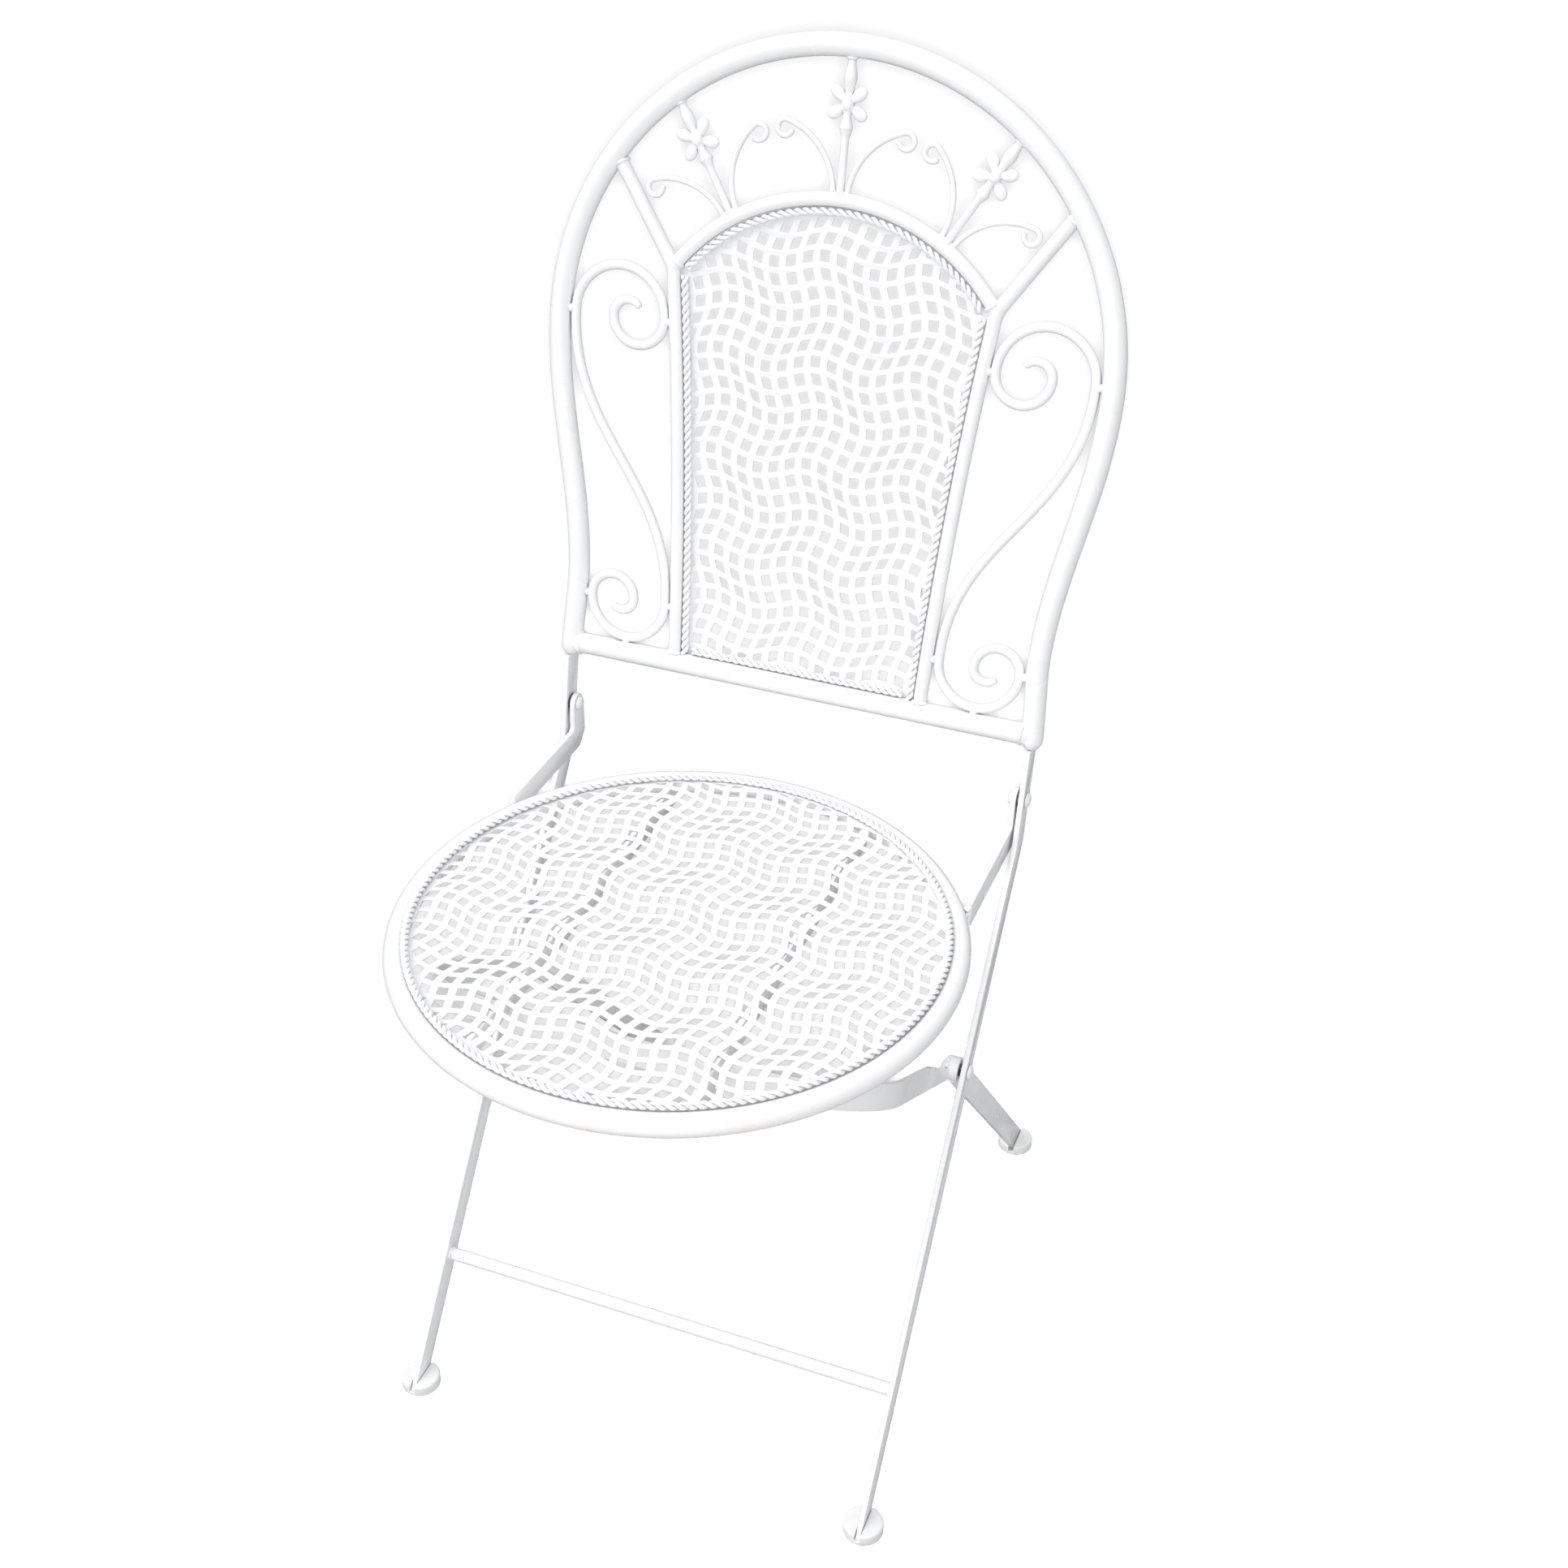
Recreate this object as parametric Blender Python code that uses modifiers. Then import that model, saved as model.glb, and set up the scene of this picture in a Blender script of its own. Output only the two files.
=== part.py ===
"""Folding garden chair of painted steel, with a round perforated seat and a hooped back.

Metres, +Z up. The chair faces -Y, and "right" is +X, as seen from the front. The origin is on the
floor, under the middle of the chair's bounding box.
"""
import math

import bmesh
import bpy
from mathutils import Matrix, Vector

# Fits and stock sizes
gap = 0.0003
hole_clearance = 0.0004
bar_width = 0.018
bar_thickness = 0.004
rear_bar_width = 0.0195
hoop_tube = 0.016
rail_tube = 0.016
ring_tube = 0.016
panel_tube = 0.010
stretcher_rod = 0.010
scroll_rod = 0.007
stem_rod = 0.0055
tendril_wire = 0.004
rope_diameter = 0.0045
sheet_thickness = 0.0015

# Seat
seat_height = 0.430
ring_inset = 0.014
ring_drop = 0.005
sheet_rise = 0.0005
seat_rail_spacing = 0.154
seat_rail_height = 0.016
notch_depth = 0.005
notch_play = 0.0006
notch_ramp = 0.006

# Side view: distances behind the seat's centre, and heights above the floor
front_foot_forward = 0.103
rear_foot_back = 0.345
lower_pivot_back = 0.100
lower_pivot_height = 0.281
stretcher_height = 0.087
pivot_above_seat = 0.025
bend_below_pivot = 0.035
rail_above_pivot = 0.049
crown_forward = 0.107
back_lean = math.radians(11.5)

# Front view
hoop_width = 0.412
leg_inset = 0.022
waist_inset = 0.025
hoop_rise = 0.453
waist_rise = 0.050
hoop_skirt = 0.010
hoop_nose = 0.006

# Back panel, on the plane of the hoop
panel_bottom_inset = 0.0835
panel_top_inset = 0.087
panel_side_bow = 0.003
panel_shoulder_rise = 0.293
panel_top_rise = 0.353
shoulder_bend = 0.012
strut_hoop_rise = 0.366

# Scrolls
scroll_top_rise = 0.2535
scroll_sweep = 0.095
curl_ratio = 0.57
eye_ratio = 0.32

# Sprigs
sprig_share = 0.587
casting_share = 0.60
collar_diameter = 0.0085
bud_diameter = 0.0090
heart_diameter = 0.0085
petal_length = 0.0145
petal_width = 0.0105
petal_thickness = 0.0055
petal_spread = 0.0090
tendril_spacing = 0.0012
tendril_share = 0.54
tendril_turn = math.radians(75)
curl_share = 0.11
curl_turn = math.radians(265)

# Perforated sheets
hole_pitch = 0.0220
strand_width = 0.0062
wave_length = 0.076
wave_height = 0.0065
sheet_border = 0.0045

# Pivots
rivet_shank = 0.006
rivet_head = 0.011
rivet_head_height = 0.0032
upper_washer_diameter = 0.013
upper_washer_thickness = 0.0015
lower_washer_diameter = 0.010
lower_washer_thickness = 0.0019
bush_diameter = 0.018
bush_length = 0.0105
bush_edge = 0.0012
rear_leg_from_bush = 0.0010

# Support arch
arch_corner_radius = 0.100
arch_neck_length = 0.085
arch_neck_depth = 0.009

# Bends of the flat bars
leg_bend_radius = 0.030
arm_bend_radius = 0.004
arm_head_width = 0.0155
arm_corner_cut = 0.010

# Feet
foot_diameter = 0.030
foot_height = 0.0095
foot_edge = 0.002
foot_floor = 0.0035

# Values that follow from the sizes above
upper_pivot_height = seat_height + pivot_above_seat
leg_bend_height = upper_pivot_height - bend_below_pivot
back_rail_height = upper_pivot_height + rail_above_pivot
leg_spacing = hoop_width - 2 * leg_inset
ring_diameter = hoop_width - 2 * ring_inset
waist_width = hoop_width - 2 * waist_inset
panel_bottom_width = waist_width - 2 * panel_bottom_inset
panel_top_width = hoop_width - 2 * panel_top_inset
tube_r = hoop_tube / 2
rail_r = rail_tube / 2
ring_r = ring_diameter / 2
ring_tube_r = ring_tube / 2
ring_z = seat_height - ring_drop
ring_outer_r = ring_r + ring_tube_r
panel_r = panel_tube / 2
rope_r = rope_diameter / 2
bush_r = bush_diameter / 2
leg_half = leg_spacing / 2
waist_half = waist_width / 2
hoop_half = hoop_width / 2
hoop_center_rise = hoop_rise - hoop_half
sheet_top = seat_height + sheet_rise
sheet_bottom = sheet_top - sheet_thickness
seat_rail_top = sheet_bottom - gap
seat_rail_bottom = seat_rail_top - seat_rail_height
foot_grip = (foot_floor + foot_height) / 2
pivot_hole_r = rivet_shank / 2 + hole_clearance

rear_slope = (rear_foot_back - lower_pivot_back) / lower_pivot_height
rear_pad_back = rear_foot_back - rear_slope * foot_grip
seat_y = (ring_outer_r - rear_pad_back - foot_diameter / 2) / 2


def side_point(back, height):
    """A point of the side view, as a distance behind the seat's centre and a height."""
    return Vector((seat_y + back, height))


def at_height(point, direction, height):
    """The point of a line of the side view at a height."""
    return point + direction * ((height - point.y) / direction.y)


front_foot = side_point(-front_foot_forward, 0)
rear_foot = side_point(rear_foot_back, 0)
lower_pivot = side_point(lower_pivot_back, lower_pivot_height)
leg_direction = (lower_pivot - front_foot).normalized()
rear_leg_direction = (lower_pivot - rear_foot).normalized()
leg_bend = at_height(front_foot, leg_direction, leg_bend_height)
stretcher_point = at_height(front_foot, leg_direction, stretcher_height)
back_direction = Vector((math.sin(back_lean), math.cos(back_lean)))
back_rail = at_height(leg_bend, back_direction, back_rail_height)
upper_pivot = at_height(leg_bend, back_direction, upper_pivot_height)

leg_inner_x = leg_half - bar_thickness / 2
upper_washer_x = leg_inner_x - gap - upper_washer_thickness / 2
arm_x = upper_washer_x - upper_washer_thickness / 2 - gap - bar_thickness / 2
lower_washer_x = leg_inner_x - gap - lower_washer_thickness / 2
bush_x = lower_washer_x - lower_washer_thickness / 2 - gap - bush_length / 2
rear_leg_x = bush_x + rear_leg_from_bush
arch_x = bush_x - bush_length / 2 + bar_thickness / 2

collection = bpy.data.collections.new("folding_garden_chair")
cutters = bpy.data.collections.new("cutters")


def clear_scene():
    for thing in list(bpy.data.objects):
        bpy.data.objects.remove(thing, do_unlink=True)
    for group in (collection, cutters):
        bpy.context.scene.collection.children.link(group)


def material(name, color, roughness, metallic):
    made = bpy.data.materials.get(name)
    if made is None:
        made = bpy.data.materials.new(name)
        made.use_nodes = True
        shader = made.node_tree.nodes["Principled BSDF"]
        shader.inputs["Base Color"].default_value = (*color, 1)
        shader.inputs["Roughness"].default_value = roughness
        shader.inputs["Metallic"].default_value = metallic
    return made


def white_enamel():
    return material("white_enamel", (0.83, 0.83, 0.82), 0.25, 0.0)


def sheet_enamel():
    return material("sheet_enamel", (0.84, 0.84, 0.83), 0.30, 0.0)


def ivory_plastic():
    return material("ivory_plastic", (0.80, 0.79, 0.75), 0.45, 0.0)


def place(item, parent, location, rotation, finish):
    item.data.materials.append(finish)
    item.parent = parent
    item.location = location
    item.rotation_euler = rotation
    collection.objects.link(item)
    return item


def empty(name, location, rotation):
    item = bpy.data.objects.new(name, None)
    item.location = location
    item.rotation_euler = rotation
    collection.objects.link(item)
    return item


def as_mesh(item, home):
    """Replaces a curve or a turned profile by its solid mesh, shaded smooth with sharp edges."""
    bpy.context.view_layer.update()
    graph = bpy.context.evaluated_depsgraph_get()
    mesh = bpy.data.meshes.new_from_object(item.evaluated_get(graph))
    body = bmesh.new()
    body.from_mesh(mesh)
    bmesh.ops.remove_doubles(body, verts=body.verts, dist=0.00001)
    bmesh.ops.recalc_face_normals(body, faces=body.faces)
    body.to_mesh(mesh)
    body.free()
    mesh.shade_smooth()
    mesh.set_sharp_from_angle(angle=math.radians(40))
    name = item.name
    parent, location, rotation = item.parent, item.location.copy(), item.rotation_euler.copy()
    bpy.data.objects.remove(item, do_unlink=True)
    solid = bpy.data.objects.new(name, mesh)
    solid.parent = parent
    solid.location = location
    solid.rotation_euler = rotation
    home.objects.link(solid)
    if home == cutters:
        solid.hide_render = True
        solid.display_type = "WIRE"
    return solid


def cut(item, cutter, operation="DIFFERENCE"):
    modifier = item.modifiers.new("cut_" + cutter.name, "BOOLEAN")
    modifier.object = cutter
    modifier.operation = operation
    modifier.solver = "EXACT"


def arc(center, radius, start, end, steps):
    """Points along a circular arc, both ends included."""
    points = []
    for i in range(steps + 1):
        angle = start + (end - start) * i / steps
        points.append(center + Vector((math.cos(angle), math.sin(angle))) * radius)
    return points


def bezier(p0, p1, p2, p3, steps):
    points = []
    for i in range(steps + 1):
        t = i / steps
        s = 1 - t
        points.append(p0 * s ** 3 + p1 * 3 * s * s * t + p2 * 3 * s * t * t + p3 * t ** 3)
    return points


def circle(center, radius, steps=16):
    return arc(center, radius, 0, 2 * math.pi * (steps - 1) / steps, steps - 1)


def turned(vector, angle):
    """A plane vector turned counter-clockwise."""
    c, s = math.cos(angle), math.sin(angle)
    return Vector((vector.x * c - vector.y * s, vector.x * s + vector.y * c))


def mirrored(path, side):
    return [Vector((p.x * side, p.y)) for p in path]


def filleted(points, radius, steps=5):
    """A polyline of plane points with its inner corners rounded to arcs."""
    path = [points[0]]
    for before, corner, after in zip(points, points[1:], points[2:]):
        inward = (corner - before).normalized()
        outward = (after - corner).normalized()
        turn = math.atan2(inward.x * outward.y - inward.y * outward.x, inward.dot(outward))
        start = corner - inward * radius * math.tan(abs(turn) / 2)
        side = math.copysign(math.pi / 2, turn)
        center = start + turned(inward, side) * radius
        for i in range(steps + 1):
            path.append(center + turned(start - center, turn * i / steps))
    path.append(points[-1])
    return path


def path_normals(path):
    """The left-hand normal at each point of a plane path."""
    normals = []
    for i in range(len(path)):
        ahead = path[min(i + 1, len(path) - 1)] - path[min(i, len(path) - 2)]
        behind = path[max(i, 1)] - path[max(i - 1, 0)]
        tangent = (ahead.normalized() + behind.normalized()).normalized()
        normals.append(Vector((-tangent.y, tangent.x)))
    return normals


def bar_edges(path, width):
    """The left and right edges of a flat bar that follows a path."""
    normals = path_normals(path)
    left = [p + n * width / 2 for p, n in zip(path, normals)]
    right = [p - n * width / 2 for p, n in zip(path, normals)]
    return left, right


def levelled(edge, direction, height):
    """An edge of a bar whose last point is moved along the bar to a height."""
    return edge[:-1] + [at_height(edge[-1], direction, height)]


def round_end(center, arm, steps=8):
    """Points of a half circle that runs clockwise from an arm's tip, both ends left out."""
    return [center + turned(arm, -math.pi * i / steps) for i in range(1, steps)]


def plate(name, loops, thickness, parent, location, rotation, finish):
    """A flat plate: the first loop is its outline and the others are holes."""
    curve = bpy.data.curves.new(name, "CURVE")
    curve.dimensions = "2D"
    curve.fill_mode = "BOTH"
    curve.extrude = thickness / 2
    for loop in loops:
        spline = curve.splines.new("POLY")
        spline.points.add(len(loop) - 1)
        for point, at in zip(spline.points, loop):
            point.co = (at.x, at.y, 0, 1)
        spline.use_cyclic_u = True
        spline.use_smooth = False
    item = bpy.data.objects.new(name, curve)
    return place(item, parent, location, rotation, finish)


def tube(name, path, diameter, parent, sides=8, cyclic=False, location=(0, 0, 0), scale=None):
    """A round rod or tube along a path of plane or space points."""
    curve = bpy.data.curves.new(name, "CURVE")
    curve.dimensions = "3D"
    curve.bevel_depth = diameter / 2
    curve.bevel_resolution = sides // 2 - 2
    curve.use_fill_caps = not cyclic
    spline = curve.splines.new("POLY")
    spline.points.add(len(path) - 1)
    for i, point in enumerate(spline.points):
        point.co = (*path[i].to_3d(), 1)
        point.radius = scale[i] if scale else 1
    spline.use_cyclic_u = cyclic
    spline.use_smooth = True
    item = bpy.data.objects.new(name, curve)
    return place(item, parent, location, (0, 0, 0), white_enamel())


def sleeve(name, path, diameter, parent, sides=8):
    """A cutter that leaves the weld gap around a tube, for the rods that end on it."""
    return as_mesh(tube(name, path, diameter + 2 * gap, parent, sides), cutters)


def trimmed_rod(name, path, diameter, parent, sides, sleeves):
    """A rod whose ends are shaped to the tubes that they are welded to."""
    item = as_mesh(tube(name, path, diameter, parent, sides), collection)
    for blank in sleeves:
        cut(item, blank)
    return item


def turned_body(name, profile, steps, parent, location, rotation, finish, closed=False):
    """A turned solid from a profile of radius and height, outer side from top to bottom."""
    mesh = bpy.data.meshes.new(name)
    points = [(radius, 0, height) for radius, height in profile]
    edges = [(i, i + 1) for i in range(len(points) - 1)]
    if closed:
        edges.append((len(points) - 1, 0))
    mesh.from_pydata(points, edges, [])
    item = bpy.data.objects.new(name, mesh)
    place(item, parent, location, rotation, finish)
    screw = item.modifiers.new("turn", "SCREW")
    screw.steps = steps
    screw.render_steps = steps
    screw.use_merge_vertices = True
    screw.merge_threshold = 0.00001
    return as_mesh(item, collection)


# A plate drawn in the side view is turned so that its X is world Y and its Y is world Z
side_rotation = (math.pi / 2, 0, math.pi / 2)


def side_plate(name, loops, thickness, x, parent, origin):
    """A flat bar in a plane of constant X, drawn in side-view points."""
    moved = [[p - origin for p in loop] for loop in loops]
    return plate(name, moved, thickness, parent, (x, 0, 0), side_rotation, white_enamel())


def hoop_half_at(rise):
    """Half the hoop's width at a height up the back."""
    if rise <= waist_rise:
        return waist_half + (leg_half - waist_half) * (1 - max(rise, 0) / waist_rise)
    if rise >= hoop_center_rise:
        return math.sqrt(max(hoop_half ** 2 - (rise - hoop_center_rise) ** 2, 0))
    share = (rise - waist_rise) / (hoop_center_rise - waist_rise)
    return waist_half + (hoop_half - waist_half) * (1 - math.cos(math.pi * share)) / 2


def hoop_path():
    """The hoop's centre line from its right foot over the top, and the scale of its section."""
    right = [Vector((leg_half, -hoop_skirt)), Vector((leg_half, -hoop_skirt + hoop_nose * 0.4)),
             Vector((leg_half, -hoop_skirt + hoop_nose))]
    nose = [0.62, 0.88, 1.0]
    steps = 9
    right += [Vector((hoop_half_at(hoop_center_rise * i / steps), hoop_center_rise * i / steps))
              for i in range(steps)]
    top = arc(Vector((0, hoop_center_rise)), hoop_half, 0, math.pi, 32)
    scale = nose + [1.0] * (2 * steps + len(top)) + nose[::-1]
    return right + top + mirrored(right, -1)[::-1], scale


def upright_half_at(rise):
    """Half the panel frame's width at a height up the back."""
    share = rise / panel_shoulder_rise
    straight = panel_bottom_width + (panel_top_width - panel_bottom_width) * share
    return straight / 2 - panel_side_bow * 4 * share * (1 - share)


def panel_arch():
    """Centre and radius of the arc over the top of the panel."""
    half = panel_top_width / 2
    sagitta = panel_top_rise - panel_shoulder_rise
    radius = (half * half + sagitta * sagitta) / (2 * sagitta)
    return Vector((0, panel_top_rise - radius)), radius


def corner_rise(inset):
    """The height at which the inset side of the panel meets its inset arch."""
    center, radius = panel_arch()
    low, high = center.y, panel_shoulder_rise
    for _ in range(40):
        middle = (low + high) / 2
        corner = Vector((upright_half_at(middle) - inset, middle))
        if (corner - center).length < radius - inset:
            low = middle
        else:
            high = middle
    return high


def panel_side(inset, bottom, top, steps=5):
    points = []
    for i in range(steps + 1):
        rise = bottom + (top - bottom) * i / steps
        points.append(Vector((upright_half_at(rise) - inset, rise)))
    return points


def panel_over(inset, short, steps):
    """The inset arch of the panel from right to left, each end short of its corner."""
    center, radius = panel_arch()
    rise = corner_rise(inset)
    corner = Vector((upright_half_at(rise) - inset, rise)) - center
    angle = math.atan2(corner.y, corner.x) + short / radius
    return arc(center, radius - inset, angle, math.pi - angle, steps)


def upright_path():
    """The right upright from the rail's middle past the panel's shoulder to the hoop's middle."""
    shoulder = Vector((panel_top_width / 2, panel_shoulder_rise))
    top = Vector((hoop_half_at(strut_hoop_rise), strut_hoop_rise))
    side = panel_side(0, 0, panel_shoulder_rise - shoulder_bend)
    bend_end = shoulder + (top - shoulder).normalized() * shoulder_bend
    bend = bezier(side[-1], shoulder, shoulder, bend_end, 4)
    return side + bend[1:] + [top]


def make_back_frame(back):
    """The hoop, its bottom rail and the frame of the panel. Returns the panel arch's sleeve."""
    path, scale = hoop_path()
    tube("back_hoop", path, hoop_tube, back, sides=8, scale=scale)
    below = [Vector((leg_half, -hoop_tube))]
    outer = below + path[3:-3] + mirrored(below, -1)
    hoop_sleeve = sleeve("hoop_sleeve", outer, hoop_tube, back)
    rail = [Vector((leg_half, 0)), Vector((-leg_half, 0))]
    trimmed_rod("back_rail", rail, rail_tube, back, 12, [hoop_sleeve])
    rail_sleeve = sleeve("rail_sleeve", rail, rail_tube, back, 12)
    upright_sleeves = []
    for side, word in ((1, "right"), (-1, "left")):
        upright = mirrored(upright_path(), side)
        trimmed_rod(word + "_panel_upright", upright, panel_tube, back, 8,
                    [rail_sleeve, hoop_sleeve])
        upright_sleeves.append(sleeve(word + "_upright_sleeve", upright, panel_tube, back))
    over = panel_over(0, 0, 16)
    trimmed_rod("panel_arch", over, panel_tube, back, 8, upright_sleeves)
    return hoop_sleeve, sleeve("arch_sleeve", over, panel_tube, back)


def make_panel_trim(back):
    """Twisted wire trim laid inside the panel frame, in four lengths."""
    inset = panel_r + rope_r + gap
    foot = rail_r + gap
    bottom = rail_r + rope_r + gap
    short = rope_r + gap
    tube("panel_trim_top", panel_over(inset, short, 14), rope_diameter, back, sides=6)
    for side, word in ((1, "right"), (-1, "left")):
        path = mirrored(panel_side(inset, foot, corner_rise(inset) - short), side)
        tube("panel_trim_" + word, path, rope_diameter, back, sides=6)
    half = upright_half_at(bottom) - inset - rope_diameter - gap
    tube("panel_trim_bottom", [Vector((half, bottom)), Vector((-half, bottom))], rope_diameter,
         back, sides=6)


def waved(x, y):
    """The wavy grid: straight lines moved sideways by a sine of the other coordinate."""
    turn = 2 * math.pi / wave_length
    return Vector((x + wave_height * math.sin(turn * y), y + wave_height * math.sin(turn * x)))


def loop_area(loop):
    total = 0.0
    for a, b in zip(loop, loop[1:] + loop[:1]):
        total += a.x * b.y - b.x * a.y
    return total / 2


def wavy_holes(reach, inside, pull):
    """Holes of the wavy grid whose middle is inside, with their corners pulled to the border."""
    half = (hole_pitch - strand_width) / 2
    count = int(reach / hole_pitch) + 2
    holes = []
    for i in range(-count, count + 1):
        for j in range(-count, count + 1):
            x = (i + 0.5) * hole_pitch
            y = (j + 0.5) * hole_pitch
            if not inside(waved(x, y)):
                continue
            loop = []
            for dx, dy in ((-half, -half), (half, -half), (half, half), (-half, half)):
                corner = pull(waved(x + dx, y + dy))
                if all((corner - other).length > half / 4 for other in loop):
                    loop.append(corner)
            if len(loop) > 2 and loop_area(loop) > half * half:
                holes.append(loop)
    return holes


def make_back_sheet(back):
    """The perforated panel, sprung inside the frame behind its wire trim."""
    inset = panel_r + gap
    bottom = rail_r + gap
    side = panel_side(inset, bottom, corner_rise(inset))
    outline = side[:-1] + panel_over(inset, 0, 16) + mirrored(side[:-1], -1)[::-1]
    border = inset + rope_diameter + sheet_border
    lowest = bottom + rope_diameter + sheet_border
    center, radius = panel_arch()
    middle = Vector((0, (panel_top_rise + bottom) / 2))

    def inside(p):
        return (pull(p) - p).length < 0.00001

    def pull(p):
        q = p + middle
        q.y = max(q.y, lowest)
        half = upright_half_at(q.y) - border
        q.x = max(-half, min(half, q.x))
        arm = q - center
        if q.y > center.y and arm.length > radius - border:
            q = center + arm.normalized() * (radius - border)
        return q - middle

    holes = wavy_holes(panel_top_rise / 2, inside, pull)
    loops = [outline] + [[p + middle for p in hole] for hole in holes]
    behind = -(rope_r + sheet_thickness / 2 + gap)
    plate("back_sheet", loops, sheet_thickness, back, (0, 0, behind), (0, 0, 0), sheet_enamel())


def curl(outer_center, outer_r, opening):
    """A curl of three arcs of falling radius, counter-clockwise from its mouth to its eye."""
    points = arc(outer_center, outer_r, opening, opening + math.pi, 11)
    radius = outer_r
    center = outer_center
    heading = opening + math.pi
    for ratio, turn, steps in ((curl_ratio, math.pi, 9), (eye_ratio, math.pi * 0.75, 5)):
        smaller = outer_r * ratio
        outward = Vector((math.cos(heading), math.sin(heading)))
        center = center + outward * (radius - smaller)
        points += arc(center, smaller, heading, heading + turn, steps)[1:]
        radius = smaller
        heading += turn
    return points


def scroll_path():
    """The right-hand scroll: a curl at the top, a long sweep and a curl at the foot."""
    rod_r = scroll_rod / 2
    hoop_side = tube_r + rod_r + 2 * gap
    panel_side_clear = panel_r + rod_r + gap
    top_inner = upright_half_at(scroll_top_rise) + panel_side_clear
    top_outer = hoop_half_at(scroll_top_rise) - hoop_side
    top_r = (top_outer - top_inner) / 2
    top_center = Vector(((top_outer + top_inner) / 2, scroll_top_rise))
    foot_inner = upright_half_at(waist_rise) + panel_side_clear
    foot_outer = hoop_half_at(waist_rise) - hoop_side
    foot_r = (foot_outer - foot_inner) / 2
    foot_center = Vector(((foot_outer + foot_inner) / 2, rail_r + rod_r + gap + foot_r))
    top_curl = curl(top_center, top_r, 0)
    foot_curl = curl(foot_center, foot_r, math.pi)
    start = top_curl[0]
    end = foot_curl[0]
    drop = Vector((0, scroll_sweep))
    sweep = bezier(start, start - drop, end + drop, end, 10)
    return top_curl[::-1] + sweep[1:-1] + foot_curl


def make_scrolls(back):
    path = scroll_path()
    tube("right_scroll", path, scroll_rod, back, sides=6)
    tube("left_scroll", mirrored(path, -1), scroll_rod, back, sides=6)


def side_sprig_angle():
    """The lean of the side sprigs, as a share of the arch's half angle."""
    _, radius = panel_arch()
    return sprig_share * math.asin(panel_top_width / 2 / radius)


def sprig_reach(angle):
    """Distance from the panel arch's centre to the hoop's centre line, along a sprig."""
    center, _ = panel_arch()
    along = Vector((math.sin(angle), math.cos(angle)))
    offset = center - Vector((0, hoop_center_rise))
    middle = offset.dot(along)
    return -middle + math.sqrt(middle * middle - offset.length_squared + hoop_half ** 2)


def swell(height, middle, reach, rise):
    """A smooth swelling of a turned stem about a height."""
    offset = abs(height - middle) / reach
    return rise * math.cos(math.pi / 2 * offset) ** 2 if offset < 1 else 0.0


def make_flower(name, back, angle, base, length, hoop_sleeve):
    """A cast flower on a stem: a collar, four petals about a heart, and a bud at the hoop."""
    center, _ = panel_arch()
    along = Vector((math.sin(angle), math.cos(angle)))
    origin = center + along * base
    stem_r = stem_rod / 2
    heart = length * 0.37
    steps = 15
    profile = [(0, length)]
    for i in range(steps, -1, -1):
        height = length * i / steps
        radius = stem_r + swell(height, length * 0.12, length * 0.13, collar_diameter / 2 - stem_r)
        radius += swell(height, heart, length * 0.12, heart_diameter / 2 - stem_r)
        radius += swell(height, length * 0.66, length * 0.18, bud_diameter / 2 - stem_r)
        profile.append((radius, height))
    profile.append((0, 0))
    turn = (-math.pi / 2, 0, -angle)
    item = turned_body(name, profile, 8, back, (origin.x, origin.y, 0), turn, white_enamel())
    for index, degrees in enumerate((42, 138, 213, 327)):
        tilt = math.radians(degrees)
        out = Vector((math.cos(tilt), 0, math.sin(tilt))) * petal_spread
        matrix = Matrix.Translation(out + Vector((0, 0, heart)))
        matrix = matrix @ Matrix.Rotation(-tilt, 4, "Y")
        matrix = matrix @ Matrix.Diagonal((petal_length / 2, petal_thickness / 2, petal_width / 2, 1))
        mesh = bpy.data.meshes.new("%s_petal_%d" % (name, index))
        body = bmesh.new()
        bmesh.ops.create_icosphere(body, subdivisions=2, radius=1, matrix=matrix)
        body.to_mesh(mesh)
        body.free()
        petal = bpy.data.objects.new(mesh.name, mesh)
        petal.parent = item
        petal.hide_render = True
        petal.display_type = "WIRE"
        cutters.objects.link(petal)
        cut(item, petal, "UNION")
    cut(item, hoop_sleeve)


def make_sprig(name, back, angle, hoop_sleeve, arch_sleeve):
    """A stem from the panel arch, its cast flower, and two tendrils with curled tips."""
    center, radius = panel_arch()
    along = Vector((math.sin(angle), math.cos(angle)))
    across = Vector((along.y, -along.x))
    tip = sprig_reach(angle)
    base = tip - (tip - radius) * casting_share
    make_flower(name + "_flower", back, angle, base, tip - base, hoop_sleeve)
    stem = [center + along * radius, center + along * (base - gap)]
    trimmed_rod(name + "_stem", stem, stem_rod, back, 8, [arch_sleeve])
    offset = stem_rod / 2 + tendril_wire / 2 + gap
    lean = side_sprig_angle()
    width_ratio = 1 - math.cos(tendril_turn) + 2 * curl_share - lean / 2
    width_r = (radius * lean / 2 - offset - tendril_spacing) / width_ratio
    height_r = (sprig_reach(lean) - radius) * tendril_share
    sweep_r = min(width_r, height_r)
    curl_r = sweep_r * curl_share
    for side, word in ((1, "right"), (-1, "left")):
        heading = math.pi - tendril_turn
        bend = arc(Vector((offset + sweep_r, radius)), sweep_r, math.pi, heading, 6)
        inner = bend[-1] - Vector((math.cos(heading), math.sin(heading))) * curl_r
        local = bend + arc(inner, curl_r, heading, heading - curl_turn, 8)[1:]
        path = [center + across * (p.x * side) + along * p.y for p in local]
        trimmed_rod("%s_%s_tendril" % (name, word), path, tendril_wire, back, 6, [arch_sleeve])


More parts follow.
